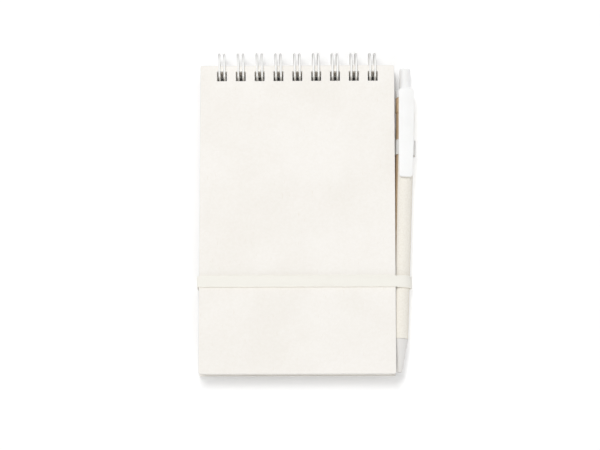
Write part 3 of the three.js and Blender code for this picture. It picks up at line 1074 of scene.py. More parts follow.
@dataclass
class Leaves(SubAssembly):
    """The two covers and the groups of sheets, each with its row of square holes for the wire."""

    board: BoardFinish
    corner_radius: float = 0.8
    corner_steps: int = 6
    hole_count: int = LOOP_COUNT
    hole_pitch: float = LOOP_PITCH
    hole_width: float = 4.4
    hole_length: float = 4.41
    hole_from_head: float = 2.8
    sheet_head_inset: float = 0.4
    board_ease: float = 0.12
    rim_angle: float = math.radians(60)
    sheet_step: float = 0.08
    sheet_thickness: float = 0.068
    sheet_shuffle: float = 0.06
    group_count: int = 8
    # How far along Y the painted shade on the hole walls reaches.
    hole_shade_length: float = 4.6

    def tree(self) -> GrowthTree:
        """Makes the tree that cuts one leaf with its holes and stacks its copies.

        Returns:
            The finished tree.
        """
        tree = GrowthTree("punched_leaves", {
            "Width": "Float", "Length": "Float", "Corner Radius": "Float", "Corner Steps": "Int",
            "Hole Width": "Float", "Hole Length": "Float", "Hole Count": "Int", "Hole Pitch": "Float",
            "First Hole": "Vector", "Thickness": "Float", "Leaf Count": "Int", "Leaf Step": "Float",
            "Shuffle": "Vector", "Seed": "Int", "Place": "Vector", "Material": "Material",
        })
        get = tree.input
        sides = {"Width": get("Width"), "Height": get("Length")}
        outline = tree.value("GeometryNodeCurvePrimitiveQuadrilateral", sockets=sides)
        outline = tree.value("GeometryNodeFilletCurve", {"mode": "POLY"}, {
            "Curve": outline, "Count": get("Corner Steps"), "Radius": get("Corner Radius"), "Limit Radius": False})
        hole_sides = {"Width": get("Hole Width"), "Height": get("Hole Length")}
        hole = tree.value("GeometryNodeCurvePrimitiveQuadrilateral", sockets=hole_sides)
        places = tree.row(get("Hole Count"), get("First Hole"), tree.along("X", get("Hole Pitch")))
        holes = tree.value("GeometryNodeInstanceOnPoints", sockets={"Points": places, "Instance": hole})
        lines = tree.value("GeometryNodeRealizeInstances", sockets={0: tree.join(outline, holes)})
        face = tree.value("GeometryNodeFillCurve", {"mode": "NGONS"}, {"Curve": lines})
        raised = tree.value("GeometryNodeExtrudeMesh", {"mode": "FACES"}, {
            "Mesh": face, "Offset Scale": get("Thickness"), "Individual": False})
        under = tree.value("GeometryNodeFlipFaces", sockets={"Mesh": face})
        leaf = tree.value("GeometryNodeMergeByDistance", sockets={
            "Geometry": tree.join(raised, under), "Distance": MERGE_DISTANCE})
        stack = tree.row(get("Leaf Count"), get("Place"), tree.along("Z", get("Leaf Step")))
        leaves = tree.value("GeometryNodeInstanceOnPoints", sockets={"Points": stack, "Instance": leaf})
        least = tree.value("ShaderNodeVectorMath", {"operation": "SCALE"}, {0: get("Shuffle"), "Scale": -1.0})
        drift = tree.value("FunctionNodeRandomValue", {"data_type": "FLOAT_VECTOR"}, {
            "Min": least, "Max": get("Shuffle"), "Seed": get("Seed")})
        moved = tree.value("GeometryNodeTranslateInstances", sockets={"Instances": leaves, "Translation": drift})
        return tree.close(moved)

    def leaf(self, tree: GrowthTree, node: str, finish: Finish, copies: int, thickness: float, step: float,
             shuffle: float, head_inset: float, seed: int) -> bpy.types.Object:
        """Grows one cover or one group of sheets where its CAD node lies.

        Args:
            tree: The tree of tree().
            node: The CAD node.
            finish: Its finish.
            copies: How many leaves are stacked.
            thickness: Each leaf's thickness, in millimetres, as the next three.
            step: From one leaf to the next.
            shuffle: How far a leaf may lie out of line.
            head_inset: How far the leaf's head lies behind the covers' head.
            seed: For the shuffle.

        Returns:
            The piece.
        """
        low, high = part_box(node)
        middle = (low + high) / 2
        row_y = high.y + (head_inset - self.hole_from_head - self.hole_length / 2) * MM
        first_x = -(self.hole_count - 1) / 2 * self.hole_pitch * MM
        piece = tree.grow(node + "_leaves", {
            "Width": high.x - low.x, "Length": high.y - low.y,
            "Corner Radius": self.corner_radius * MM, "Corner Steps": self.corner_steps,
            "Hole Width": self.hole_width * MM, "Hole Length": self.hole_length * MM,
            "Hole Count": self.hole_count, "Hole Pitch": self.hole_pitch * MM,
            "First Hole": (first_x, row_y - middle.y, 0.0),
            "Thickness": thickness * MM, "Leaf Count": copies, "Leaf Step": step * MM,
            "Shuffle": (shuffle * MM, shuffle * MM, 0.0), "Seed": seed,
            "Place": (middle.x, middle.y, low.z), "Material": finish.material(),
        })
        with edited(piece) as source:
            bmesh.ops.recalc_face_normals(source, faces=source.faces[:])
        return piece

    def build(self) -> None:
        """Builds the covers, then the groups of sheets from the top one down."""
        tree = self.tree()
        for node, body in (("front_cover", Body.FRONT), ("back_cover", Body.BACK)):
            low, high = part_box(node)
            piece = self.leaf(tree, node, self.board, copies=1, thickness=(high.z - low.z) / MM, step=1.0,
                              shuffle=0.0, head_inset=0.0, seed=0)
            self.ease_rims(piece)
            self.hand_over(piece, self.board, body, "carton", [node])
        holes_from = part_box("front_cover")[1].y - (self.hole_from_head + self.hole_length) * MM
        paper = SheetFinish("writing_paper", "fbf9f5", self.sheet_step * MM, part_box("sheets_8")[0].z, holes_from,
                            self.hole_shade_length * MM)
        for number in range(1, self.group_count + 1):
            node = f"sheets_{number}"
            low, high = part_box(node)
            copies = round((high.z - low.z) / (self.sheet_step * MM))
            piece = self.leaf(tree, node, paper, copies, self.sheet_thickness, self.sheet_step,
                              self.sheet_shuffle, self.sheet_head_inset, number)
            self.hand_over(piece, paper, node, "paper", [node])

    def ease_rims(self, piece: bpy.types.Object) -> None:
        """Softens the cover's outer rims and those of its holes.

        Args:
            piece: The cover.
        """
        with edited(piece) as source:
            rims = [edge for edge in source.edges
                    if abs(edge.verts[0].co.z - edge.verts[1].co.z) < SAME_HEIGHT
                    and len(edge.link_faces) == 2 and edge.calc_face_angle() > self.rim_angle]
            bmesh.ops.bevel(source, geom=rims, offset=self.board_ease * MM, segments=2, profile=0.5,
                            affect="EDGES")


@dataclass
class WireBinding(SubAssembly):
    """One unbroken wire, bent into pairs of legs with round tips and joined by root bars."""

    finish: CoatedWireFinish
    loop_count: int = LOOP_COUNT
    pitch: float = LOOP_PITCH
    diameter: float = 0.9
    leg_spacing: float = 2.24
    root_radius: float = 1.2
    root_stub: float = 1.2
    seam_gap: float = 1.0
    seam_turn: float = math.radians(14)
    ring_radius: float = 5.88
    ring_beyond_edge: float = 0.3
    lean: float = 0.45
    lean_from: float = math.radians(58)
    lean_to: float = math.radians(-12)
    leg_steps: int = 72
    tip_steps: int = 16
    corner_steps: int = 8
    sides: int = 16
    smooth: float = 50.0

    def route(self) -> list[Point2]:
        """One loop's line on the ring, from the middle of one root bar to the middle of the next.

        Returns:
            How far each point lies from the loop's middle, and how far round the ring, in millimetres.
        """
        half = self.leg_spacing / 2
        leg_from = self.root_radius
        leg_to = 2 * math.pi * self.ring_radius - self.seam_gap - self.diameter - half
        side: list[Point2] = [(-self.pitch / 2, 0.0)]
        for i in range(self.corner_steps):
            turn = math.pi / 2 * i / self.corner_steps
            side.append((-half - self.root_radius * (1 - math.sin(turn)), self.root_radius * (1 - math.cos(turn))))
        side += [(-half, leg_from + (leg_to - leg_from) * i / self.leg_steps) for i in range(self.leg_steps)]
        for i in range(self.tip_steps // 2):
            turn = math.pi * i / self.tip_steps
            side.append((-half * math.cos(turn), leg_to + half * math.sin(turn)))
        return side + [(0.0, leg_to + half)] + [(-x, arc) for x, arc in reversed(side)]

    def tree(self) -> GrowthTree:
        """Makes the tree that repeats the loop, joins the copies into one line and sweeps the wire along it.

        Returns:
            The finished tree.
        """
        tree = GrowthTree("looped_wire", {
            "Loop": "Geometry", "Loop Count": "Int", "Pitch": "Float", "First Loop": "Vector",
            "Trim": "Float", "Wire Radius": "Float", "Wire Sides": "Int", "Material": "Material",
        })
        get = tree.input
        places = tree.row(get("Loop Count"), get("First Loop"), tree.along("X", get("Pitch")))
        loops = tree.value("GeometryNodeInstanceOnPoints", sockets={"Points": places, "Instance": get("Loop")})
        edges = tree.value("GeometryNodeRealizeInstances", sockets={0: loops})
        chain = tree.value("GeometryNodeMergeByDistance", sockets={"Geometry": edges, "Distance": MERGE_DISTANCE})
        line = tree.value("GeometryNodeMeshToCurve", sockets={"Mesh": chain})
        length = tree.value("GeometryNodeCurveLength", sockets={"Curve": line})
        line = tree.value("GeometryNodeTrimCurve", {"mode": "LENGTH"}, {
            "Curve": line, 4: get("Trim"), 5: length - get("Trim")})
        return tree.close(tree.sweep(line))

    def build(self) -> None:
        """Builds the wire round the covers' heads."""
        cover_low, cover_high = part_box("front_cover")
        centre_z = (cover_high.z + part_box("back_cover")[0].z) / 2
        centre = Vector((0.0, cover_high.y + self.ring_beyond_edge * MM, centre_z))
        points = []
        for x, arc in self.route():
            turn = arc / self.ring_radius - math.pi / 2 - self.seam_turn
            x -= self.lean * smooth_share(turn, self.lean_from, self.lean_to)
            across, up = self.ring_radius * math.cos(turn), self.ring_radius * math.sin(turn)
            points.append(centre + Vector((x, across, up)) * MM)
        line = bpy.data.meshes.new("loop_line")
        line.from_pydata(points, [(i, i + 1) for i in range(len(points) - 1)], [])
        middle_x = (cover_low.x + cover_high.x) / 2
        first_x = middle_x - (self.loop_count - 1) / 2 * self.pitch * MM
        end_x = self.leg_spacing / 2 + self.root_radius + self.root_stub
        wire = self.tree().grow("wire_loops", {
            "Loop Count": self.loop_count, "Pitch": self.pitch * MM, "First Loop": (first_x, 0.0, 0.0),
            "Trim": (self.pitch / 2 - end_x) * MM, "Wire Radius": self.diameter / 2 * MM,
            "Wire Sides": self.sides, "Material": self.finish.material(),
        }, line)
        wire.data.shade_smooth()
        wire.data.set_sharp_from_angle(angle=math.radians(self.smooth))
        self.hand_over(wire, self.finish, Body.BACK, "coated_wire", ["wire_binding"])


@dataclass
class ElasticBand(SubAssembly):
    """The flat band, pulled round the covers and over the pen."""

    pen: PenPlace
    finish: WovenFinish
    width: float = 5.0
    thickness: float = 0.75
    ease: float = 0.28
    clearance: float = 0.06
    barrel_radius: float = 3.85
    spread_at_pen: float = 0.08
    spread_reach: float = 3.0
    ripple: float = 0.06
    ripple_cycles: float = 90.0

    def build(self) -> None:
        """Builds the band as a closed strap."""
        low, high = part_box("elastic_band")
        top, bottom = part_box("front_cover")[1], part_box("back_cover")[0]
        y = (low.y + high.y) / 2
        pen_x = (self.pen.tip.x + (y - self.pen.tip.y) * math.tan(self.pen.lean)) / MM
        left, right = bottom.x / MM, top.x / MM
        circles = [(left, bottom.z / MM, 0.0), (right, bottom.z / MM, 0.0),
                   (pen_x, self.pen.tip.z / MM, self.barrel_radius),
                   (right, top.z / MM, 0.0), (left, top.z / MM, 0.0)]
        path = belt(circles, self.clearance + self.thickness / 2)

        def spread(point: Vector) -> float:
            """Wider where the band is stretched over the pen."""
            return 1.0 + self.spread_at_pen * smooth_share(point.x, right, right + self.spread_reach)

        made = path.strap(self.width, self.thickness, self.ease, spread)
        for vert in made.verts:
            spot = Vector((vert.co.x, 0.0, vert.co.z)) * self.ripple_cycles
            vert.co.y += self.ripple * MM * noise.noise(spot)
        bmesh.ops.translate(made, verts=made.verts[:], vec=(0.0, y, 0.0))
        band = keep("woven_band", made)
        self.hand_over(band, self.finish, Body.BAND, "elastic", ["elastic_band"])


@dataclass
class PenLoop(SubAssembly):
    """The ribbon round the pen, whose tail is glued to the inside of the back cover."""

    pen: PenPlace
    finish: WovenFinish
    width: float = 6.9
    thickness: float = 0.46
    ease: float = 0.14
    barrel_radius: float = 4.14
    clearance: float = 0.21
    slack: Point2 = (0.19, -0.06)
    tail_height: float = 0.35
    tail_shorter: float = 0.1
    tail_steps: int = 10
    step_degrees: float = 5.0

    def build(self) -> None:
        """Builds the tail and the ring as one strap, in the pen's own frame."""
        low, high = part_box("pen_loop")
        cover_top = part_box("back_cover")[1].z
        station = ((low.y + high.y) / 2 - self.pen.tip.y) / math.cos(self.pen.lean) / MM
        axis_x = self.pen.tip.x / MM + station * math.sin(self.pen.lean)
        ring = self.barrel_radius + self.clearance + self.thickness / 2
        tail_z = (cover_top - self.pen.tip.z) / MM + self.tail_height
        centre = Vector(self.slack)
        start = math.pi + math.asin((centre.y - tail_z) / ring)
        tail_end = low.x / MM + self.tail_shorter - axis_x
        meet = centre + Vector((math.cos(start), math.sin(start))) * ring
        points, outs = [], []
        for k in range(self.tail_steps):
            points.append(Vector((tail_end + (meet.x - tail_end) * k / self.tail_steps, tail_z)))
            outs.append(Vector((0.0, -1.0)))
        turns = math.ceil(360 / self.step_degrees) - 1
        for k in range(turns + 1):
            turn = start + math.radians(k * self.step_degrees)
            out = Vector((math.cos(turn), math.sin(turn)))
            points.append(centre + out * ring)
            outs.append(out if k else (out + Vector((0.0, -1.0))).normalized())
        made = StrapPath(points, outs, False).strap(self.width, self.thickness, self.ease)
        bmesh.ops.translate(made, verts=made.verts[:], vec=(0.0, station * MM, 0.0))
        bmesh.ops.transform(made, matrix=self.pen.matrix, verts=made.verts[:])
        loop = keep("woven_pen_loop", made)
        self.hand_over(loop, self.finish, Body.BACK, "ribbon", ["pen_loop"])


@dataclass
class Pen(SubAssembly):
    """The click pen, measured along its axis from the tip of the nose cone, in millimetres."""

    pen: PenPlace
    white: PlasticFinish
    carton: RolledCartonFinish
    steel: MetalFinish
    barrel_radius: float = 3.65
    upper_radius: float = 4.2
    barrel_wall: float = 0.7
    barrel_from: float = 14.8
    barrel_to: float = 117.4
    upper_to: float = 124.2
    collar_to: float = 128.2
    button_to: float = 138.2
    fit: float = 0.12
    wall: float = 0.7
    spigot: float = 9.0
    ply: float = 0.1
    clip_length: float = 40.9
    clip_half: float = 3.45
    clip_end_half: float = 3.0
    clip_aside: float = 0.58
    clip_end_aside: float = 0.52
    clip_taper_from: float = 17.9
    clip_roundings: Point3 = (1.4, 6.0, 2.3)
    clip_low: float = 4.85
    clip_high: float = 5.8
    button_radius: float = 2.5
    chamber: float = 3.0
    sleeve: float = 3.4
    refill_radius: float = 1.5
    askew: float = math.radians(1.1)
    aside: float = -0.15
    nose_hole: float = 0.87
    nose_hole_to: float = 7.4
    nose_outline: tuple[Point3, ...] = ((1.3, 0.0, 0.15), (1.72, 2.6, 0.8), (2.5, 7.6, 1.6), (3.14, 11.4, 1.4))
    barrel_rows: int = 24
    barrel_steps: int = 180
    barrel_ease: float = 0.12
    skin: float = 0.01
    fine_steps: int = 8
    inner_segments: int = 48
    ink_segments: int = 32
    rim_ease: float = 0.15
    plug_slack: float = 0.05
    plug_bore: float = 2.67
    chamber_from: float = 0.5
    bridge_half: float = 2.1
    bridge_low: float = 3.45
    bridge_overlap: float = 0.3
    bridge_ease: float = 0.1
    plate_ease: float = 0.28
    button_inside: float = 6.0
    button_stem: float = 2.3
    button_foot: float = 0.25
    button_foot_from: float = 4.6
    button_rounding: float = 1.1
    end_play: float = 0.15
    point_outline: tuple[Point3, ...] = (
        (0.0, 2.83, 0.0), (0.304, 2.83, 0.0), (0.43, 2.526, 0.0), (0.43, 2.25, 0.0), (0.49, 2.25, 0.03),
        (0.75, 5.25, 0.3), (0.75, 22.25, 0.0), (1.5, 22.25, 0.06), (1.5, 23.22, 0.06), (1.02, 23.22, 0.0),
        (1.02, 27.25, 0.1), (0.0, 27.25, 0.0))
    rotor_length: float = 8.0
    rotor_socket: float = 3.0
    rib_count: int = 4
    rib_back: float = 4.5
    rib_length: float = 3.95
    rib_reach: Point2 = (1.3, 2.45)
    rib_half: float = 0.35
    rib_ease: float = 0.08
    refill_bore: float = 1.05
    tube_from: float = 23.25
    tube_depth: float = 2.85
    ink_from: float = 27.4
    ink_radius: float = 1.02
    ink_share: float = 0.8
    ball_radius: float = 0.4
    ball_at: float = 2.4
    spring_span: Point2 = (7.725, 21.925)
    spring_turns: float = 9.0
    spring_steps: int = 32
    spring_radius: float = 1.735
    spring_wire: float = 0.175
    spring_sides: int = 10

    @property
    def cocked(self) -> Matrix:
        """How the click unit sits in the barrel, which is a little loose.

        Returns:
            A small turn about the joint and a small push aside.
        """
        joint = Vector((0.0, self.barrel_to * MM, 0.0))
        pushed = Vector((self.aside * MM, 0.0, 0.0))
        return Matrix.Translation(joint + pushed) @ Matrix.Rotation(self.askew, 4, "Z") @ Matrix.Translation(-joint)

    @property
    def rotor_to(self) -> float:
        """Where the cam rotor ends, just short of the button."""
        return self.collar_to - self.button_inside - self.end_play

    def put(self, name: str, made: bmesh.types.BMesh, finish: Finish, body: Body, slot: str,
            node: str, loose: bool = False) -> None:
        """Moves a mesh from the pen's frame to the row's and hands it over.

        Args:
            name: The piece's name.
            made: Its mesh.
            finish: Its finish.
            body: The body that it rides on.
            slot: The record's material slot.
            node: The CAD node that it stands for.
            loose: Whether it belongs to the click unit, which sits a little askew.
        """
        matrix = self.pen.matrix @ self.cocked if loose else self.pen.matrix
        bmesh.ops.transform(made, matrix=matrix, verts=made.verts[:])
        self.hand_over(keep(name, made), finish, body, slot, [node])

    def build(self) -> None:
        """Builds the pen's outer shell, its button and what is inside it."""
        self.build_nose()
        self.build_barrel()
        self.build_upper()
        self.build_clip()
        self.build_button()
        self.build_rotor()
        self.build_refill()
        self.build_spring()

    def build_nose(self) -> None:
        """The nose cone, with a soft swell and a spigot inside the barrel."""
        bore = self.barrel_radius - self.barrel_wall - self.fit - self.wall
        shoulder = self.barrel_from - self.fit
        profile = eased([
            (self.nose_hole, 0.0, 0.1), *self.nose_outline, (self.barrel_radius, shoulder, 0.18),
            (bore + self.wall, shoulder, 0.0), (bore + self.wall, self.barrel_from + self.spigot, 0.1),
            (bore, self.barrel_from + self.spigot, 0.0), (bore, self.nose_hole_to, 0.0),
            (self.nose_hole, self.nose_hole_to, 0.0)])
        finish = PlasticFinish("nose_plastic", "e8e6e3", self.pen, roughness=0.4, grain_cycles=2400.0)
        self.put("nose_cone_shell", turned(profile), finish, Body.PEN, "nose_plastic", "pen_nose_cone")

    def build_barrel(self) -> None:
        """The rolled tube, a ply thinner along the strip beside its lap."""
        inner, outer, ease = self.barrel_radius - self.barrel_wall, self.barrel_radius, self.barrel_ease
        start, end = self.barrel_from + self.rim_ease, self.barrel_to - self.rim_ease
        shares = [k / self.barrel_rows for k in range(self.barrel_rows + 1)]
        wall = [(outer + (self.upper_radius - outer) * share, start + (end - start) * share) for share in shares]
        profile = [(inner, self.barrel_from), (outer - ease, self.barrel_from), *wall,
                   (self.upper_radius - ease, self.barrel_to), (inner, self.barrel_to)]

        def sunk(radius: float, along: float, turn: float) -> float:
            """The outer ply is missing along the strip."""
            in_strip = self.carton.strip_from < turn < self.carton.strip_to
            return -self.ply if in_strip and radius > outer - self.skin else 0.0

        made = turned(profile, self.barrel_steps, sunk)
        self.put("rolled_barrel", made, self.carton, Body.PEN, "carton", "pen_barrel")

    def build_upper(self) -> None:
        """The upper section of the same carton, with its plug in the barrel and the seat of the collar."""
        plug = self.barrel_radius - self.barrel_wall - self.fit - self.plug_slack
        start, step, bore = self.barrel_to + self.fit, self.barrel_to + self.chamber_from, self.plug_bore
        end = self.collar_to - self.wall - self.fit
        profile = eased([
            (bore, self.barrel_to - self.spigot, 0.0), (plug, self.barrel_to - self.spigot, 0.1),
            (plug, start, 0.0), (self.upper_radius, start, self.rim_ease),
            (self.upper_radius, self.upper_to, self.rim_ease), (self.sleeve, self.upper_to, 0.0),
            (self.sleeve, end, 0.0), (self.chamber, end, 0.0), (self.chamber, step, 0.0), (bore, step, 0.0)])
        self.put("upper_shell", turned(profile), self.carton, Body.PEN, "carton", "pen_upper_section", loose=True)

    def build_clip(self) -> None:
        """The clip's plate, its bridge and its collar."""
        foot, head = self.collar_to - self.clip_length, self.collar_to
        half, narrow = self.clip_half, self.clip_end_half
        low_x, high_x, taper = self.clip_end_aside, self.clip_aside, head - self.clip_taper_from
        at_foot, at_taper, at_head = self.clip_roundings
        outline = eased([
            (low_x - narrow, foot, at_foot), (low_x + narrow, foot, at_foot), (high_x + half, taper, at_taper),
            (high_x + half, head, at_head), (high_x - half, head, at_head), (high_x - half, taper, at_taper)],
            self.fine_steps)
        plate = slab(outline, self.clip_low, self.clip_high, self.plate_ease)
        wide, start, end = self.bridge_half, self.upper_to + self.fit, self.collar_to - 2 * self.wall
        bridge = slab([(-wide, start), (wide, start), (wide, end), (-wide, end)],
                      self.bridge_low, self.clip_low + self.bridge_overlap, self.bridge_ease)
        lip = self.collar_to - self.wall
        bore, sleeve = self.button_radius + self.fit, self.sleeve + self.fit
        collar = turned(eased([
            (sleeve, start, 0.0), (self.upper_radius, start, self.rim_ease),
            (self.upper_radius, lip, 0.3), (self.upper_radius - self.wall, self.collar_to, 0.25),
            (bore, self.collar_to, 0.1), (bore, lip, 0.0), (sleeve, lip, 0.0)]))
        made = joined([plate, bridge, collar])
        self.put("clip_shell", made, self.white, Body.PEN, "white_plastic", "pen_clip", loose=True)

    def build_button(self) -> None:
        """The push button with its rounded end and its foot."""
        start, foot_from = self.collar_to - self.button_inside, self.collar_to - self.button_foot_from
        foot_to = self.collar_to - self.wall - self.end_play
        radius, stem = self.button_radius, self.button_stem
        foot = radius + self.button_foot
        profile = eased([
            (0.0, start, 0.0), (stem, start, 0.1), (stem, foot_from, 0.0), (foot, foot_from, 0.1),
            (foot, foot_to, 0.1), (radius, foot_to, 0.0), (radius, self.button_to, self.button_rounding),
            (0.0, self.button_to, 0.0)], self.fine_steps)
        self.put("button_cap", turned(profile), self.white, Body.BUTTON, "white_plastic", "pen_button", loose=True)

    def build_rotor(self) -> None:
        """The cam rotor with its ribs, which stands on the refill's end."""
        end, socket = self.rotor_to, self.refill_radius + self.fit
        start, skirt = end - self.rotor_length, socket + self.fit
        body = turned(eased([
            (0.0, start + self.rotor_socket, 0.0), (socket, start + self.rotor_socket, 0.0), (socket, start, 0.0),
            (skirt, start, 0.08), (skirt, end - self.wall, 0.2), (skirt - self.wall, end, 0.2),
            (0.0, end, 0.0)]), self.inner_segments)
        inner, outer = self.rib_reach
        rib_from = end - self.rib_back
        rib_to = rib_from + self.rib_length
        parts = [body]
        for k in range(self.rib_count):
            rib = slab([(inner, rib_from), (outer, rib_from), (outer, rib_to), (inner, rib_to)],
                       -self.rib_half, self.rib_half, self.rib_ease)
            turn = Matrix.Rotation(2 * math.pi / self.rib_count * k, 3, "Y")
            bmesh.ops.rotate(rib, matrix=turn, verts=rib.verts[:])
            parts.append(rib)
        self.put("cam_rotor_body", joined(parts), self.white, Body.REFILL, "white_plastic", "pen_cam_rotor")

    def build_refill(self) -> None:
        """The refill's tube, its ink, its point and its ball, which all move with the button."""
        bore, tube_to = self.refill_bore, self.rotor_to - self.rotor_length + self.tube_depth
        tube = turned(eased([
            (bore, self.tube_from, 0.0), (self.refill_radius, self.tube_from, 0.1),
            (self.refill_radius, tube_to, 0.1), (bore, tube_to, 0.0)]), self.inner_segments)
        clear = PlasticFinish("refill_plastic", "e2e6e8", self.pen, roughness=0.22, grain_cycles=1500.0)
        self.put("refill_tube_wall", tube, clear, Body.REFILL, "refill_plastic", "pen_refill_tube")

        ink_to = self.ink_from + (tube_to - self.ink_from) * self.ink_share
        column = turned(eased([
            (0.0, self.ink_from, 0.0), (self.ink_radius, self.ink_from, 0.1), (self.ink_radius, ink_to, 0.1),
            (0.0, ink_to, 0.0)]), self.ink_segments)
        ink = PlasticFinish("blue_ink", "1a2456", self.pen, roughness=0.12, grain_cycles=400.0)
        self.put("ink_fill", column, ink, Body.REFILL, "ink", "pen_ink")

        brass = MetalFinish("turned_brass", "cdae6c", self.pen)
        point = turned(eased(self.point_outline), self.inner_segments)
        self.put("writing_point", point, brass, Body.REFILL, "brass", "pen_refill_point")

        sphere = bmesh.new()
        bmesh.ops.create_icosphere(sphere, subdivisions=3, radius=self.ball_radius * MM)
        bmesh.ops.translate(sphere, verts=sphere.verts[:], vec=(0.0, self.ball_at * MM, 0.0))
        self.put("writing_ball", sphere, self.steel, Body.REFILL, "steel", "pen_ball")

    def build_spring(self) -> None:
        """The return spring round the point's shank."""
        tree = GrowthTree("return_spring", {
            "Turns": "Float", "Steps": "Int", "Radius": "Float", "Length": "Float", "Wire Radius": "Float",
            "Wire Sides": "Int", "Material": "Material"})
        get = tree.input
        spiral = tree.value("GeometryNodeCurveSpiral", sockets={
            "Resolution": get("Steps"), "Rotations": get("Turns"), "Start Radius": get("Radius"),
            "End Radius": get("Radius"), "Height": get("Length")})
        start, end = self.spring_span
        spring = tree.close(tree.sweep(spiral)).grow("coiled_spring", {
            "Turns": self.spring_turns, "Steps": self.spring_steps, "Radius": self.spring_radius * MM,
            "Length": (end - start) * MM, "Wire Radius": self.spring_wire * MM, "Wire Sides": self.spring_sides,
            "Material": self.steel.material()})
        upright = Matrix.Translation((0.0, start * MM, 0.0)) @ Matrix.Rotation(-math.pi / 2, 4, "X")
        spring.data.transform(self.pen.matrix @ upright)
        spring.data.shade_smooth()
        self.hand_over(spring, self.steel, Body.PEN, "steel", ["pen_spring"])


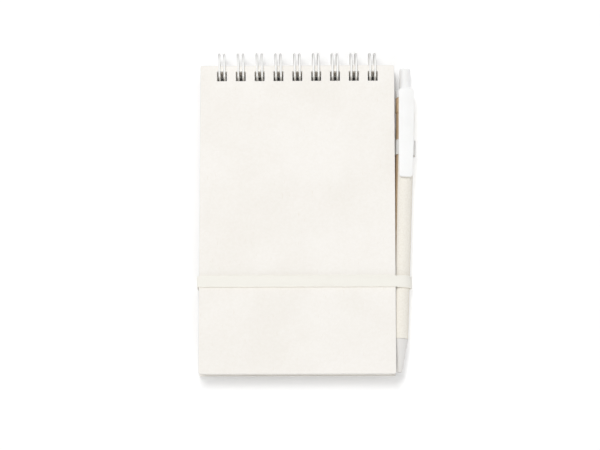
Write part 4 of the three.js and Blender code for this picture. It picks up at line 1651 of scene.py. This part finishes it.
@dataclass
class Studio:
    """The plain floor, the soft light and the camera."""

    camera_place: Point3 = (17.9716, -259.7155, 1227.4445)
    camera_right: Point3 = (0.9999, 0.0, -0.0171)
    camera_up: Point3 = (0.0035, 0.979, 0.2036)
    camera_ahead: Point3 = (-0.0167, 0.2036, -0.9789)
    lens: float = 168.0
    farthest: float = 20.0
    floor_size: float = 4.0
    lamp_size: float = 0.42
    key_place: Point3 = (-0.17, 0.3, 0.93)
    key_power: float = 3.6
    fill_place: Point3 = (0.05, -0.85, 0.28)
    fill_power: float = 1.6
    sky_strength: float = 0.585
    floor_tone: float = 0.95
    floor_glow: float = 0.13
    # Painted light: extra glow on the floor right of the pen, which lightens the pen's shadow there.
    painted_light_beside_pen: float = 0.22
    bounce_tone: float = 0.95
    # Painted shadow: the dark tone of the floor under the back cover, seen through the holes.
    painted_shadow_under_tone: float = 0.22
    right_rise: Point2 = (0.04, 0.048)
    right_fall: Point2 = (0.09, 0.13)
    ends_rise: Point2 = (0.08, 0.12)
    beside: tuple[Point2, Point2] = ((-0.047, -0.0725), (0.0405, 0.0665))
    under: tuple[Point2, Point2] = ((-0.0455, -0.071), (0.037, 0.0645))

    def build(self) -> None:
        """Builds all three."""
        self.build_floor()
        self.build_light()
        self.build_camera()

    @staticmethod
    def within(sheet: NodeSheet, spot: Value, corners: tuple[Point2, Point2]) -> Value:
        """Marks a part of the floor.

        Args:
            sheet: The floor's tree.
            spot: A point of the floor.
            corners: The lowest and the highest X and Y of the part.

        Returns:
            1 inside and 0 outside, with a soft border of 1 mm.
        """
        sides = [place.between(low, low + MM) * (1.0 - place.between(high - MM, high))
                 for place, low, high in zip(sheet.split(spot), *corners)]
        return sides[0] * sides[1]

    @staticmethod
    def seen(sheet: NodeSheet) -> Value:
        """Tells what shows from what only gives light.

        Args:
            sheet: The tree.

        Returns:
            1 for what the camera sees, itself or in a gloss, and 0 for other rays.
        """
        path = sheet.add("ShaderNodeLightPath")
        camera, glossy = (Value(sheet, path.outputs[name]) for name in ("Is Camera Ray", "Is Glossy Ray"))
        return camera.math("MAXIMUM", glossy)

    def build_floor(self) -> None:
        """A wide white floor. Open to view it shows white where a shadow is faint, and keeps the dense ones. Under the
        back cover it is painted dark, a painted shadow seen through the holes, and right of the pen it is painted
        lighter, painted light that lightens the pen's shadow.
        """
        made = bmesh.new()
        bmesh.ops.create_grid(made, x_segments=1, y_segments=1, size=self.floor_size)
        floor = keep("studio_floor", made, None)
        material = bpy.data.materials.new("white_floor")
        sheet = blank(material)
        spot = sheet.value("ShaderNodeTexCoord", output="Object")
        dark, bounce, plain = ((tone, tone, tone, 1.0)
                               for tone in (self.painted_shadow_under_tone, self.bounce_tone, self.floor_tone))
        # Painted shadow: the floor under the back cover is darkened.
        near_tone = sheet.mix(self.within(sheet, spot, self.under), WHITE, dark)
        matt, open_floor, near_floor = (sheet.value("ShaderNodeBsdfDiffuse", sockets={"Color": tone})
                                        for tone in (bounce, plain, near_tone))
        x, y, _ = sheet.split(spot)
        # Painted light: a strip right of the pen is lit more, over the pen's shadow.
        here = x.between(*self.right_rise) * (1.0 - x.between(*self.right_fall))
        here = here * (1.0 - y.math("ABSOLUTE").between(*self.ends_rise))
        tone = sheet.mix(here * self.painted_light_beside_pen + self.floor_glow, BLACK, WHITE)
        glow = sheet.value("ShaderNodeEmission", sockets={"Color": tone})
        lit = sheet.value("ShaderNodeAddShader", sockets={0: open_floor, 1: glow})
        near = self.within(sheet, spot, self.beside)
        shown = sheet.value("ShaderNodeMixShader", sockets={0: near, 1: lit, 2: near_floor})
        mixed = sheet.value("ShaderNodeMixShader", sockets={0: self.seen(sheet), 1: matt, 2: shown})
        sheet.add("ShaderNodeOutputMaterial", sockets={"Surface": mixed})
        floor.data.materials.append(material)

    def build_light(self) -> None:
        """A large soft key light from the upper left, a weak fill light low at the foot, and an even pale sky."""
        for name, place, power in (("key_light", self.key_place, self.key_power),
                                   ("fill_light", self.fill_place, self.fill_power)):
            lamp = bpy.data.lights.new(name, "AREA")
            lamp.energy = power
            lamp.shape = "DISK"
            lamp.size = self.lamp_size
            lit = stand(name, lamp)
            lit.location = place
            lit.rotation_mode = "QUATERNION"
            lit.rotation_quaternion = (-Vector(place)).to_track_quat("-Z", "Y")
        world = bpy.data.worlds.new("pale_sky")
        sheet = blank(world)
        sky, backdrop = (sheet.value("ShaderNodeBackground", sockets={"Color": WHITE, "Strength": strength})
                         for strength in (self.sky_strength, 1.0))
        mixed = sheet.value("ShaderNodeMixShader", sockets={0: self.seen(sheet), 1: sky, 2: backdrop})
        sheet.add("ShaderNodeOutputWorld", sockets={"Surface": mixed})
        bpy.context.scene.world = world
        bpy.context.scene.view_settings.view_transform = "Standard"

    def build_camera(self) -> None:
        """The camera at the photograph's angle."""
        lens = bpy.data.cameras.new("camera")
        lens.lens = self.lens
        lens.clip_end = self.farthest
        camera = stand("camera", lens)
        axes = (self.camera_right, self.camera_up, [-x for x in self.camera_ahead])
        turn = Matrix([Vector(axis).normalized() for axis in axes]).transposed()
        camera.matrix_world = Matrix.Translation(Vector(self.camera_place) * MM) @ turn.to_4x4()
        bpy.context.scene.camera = camera


def pen_place() -> PenPlace:
    """Finds the pen from its barrel's box and its lean.

    Returns:
        Its place, a little nearer to the covers than in the CAD.
    """
    low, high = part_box("pen_barrel")
    middle = (low + high) / 2 - Vector((PEN_NEARER * MM, 0.0, 0.0))
    half_way = (Pen.barrel_from + Pen.barrel_to) / 2 * MM
    return PenPlace(middle - Vector((math.sin(PEN_LEAN), math.cos(PEN_LEAN), 0.0)) * half_way, PEN_LEAN)


def main() -> None:
    """Clears the start-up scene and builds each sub-assembly."""
    logging.basicConfig(level=logging.INFO, format="%(name)s: %(message)s")
    ours = {*frame["nodes"].values(), *frame["bodies"].values()}
    for stray in [o for o in bpy.data.objects if o not in ours]:
        bpy.data.objects.remove(stray)
    place = pen_place()
    band = WovenFinish("cream_elastic", "fefcf4", "f1ede3")
    ribbon = WovenFinish("white_ribbon", "f1f0ed", "cfcdc8", Weave.FLAT_RIBBON, depth=0.00008)
    white = PlasticFinish("white_plastic", "fbfbfa", place, roughness=0.6, painted_edge_light=1.0)
    Studio().build()
    Leaves(BoardFinish("cream_board", "fcf9f4")).build()
    WireBinding(CoatedWireFinish("coated_wire", "fcfcfa")).build()
    ElasticBand(place, band).build()
    PenLoop(place, ribbon).build()
    carton = RolledCartonFinish("rolled_carton", "faf6ed", place)
    Pen(place, white, carton, MetalFinish("drawn_steel", "c3c6ca", place, roughness=0.2)).build()


if __name__ == "__main__":
    main()
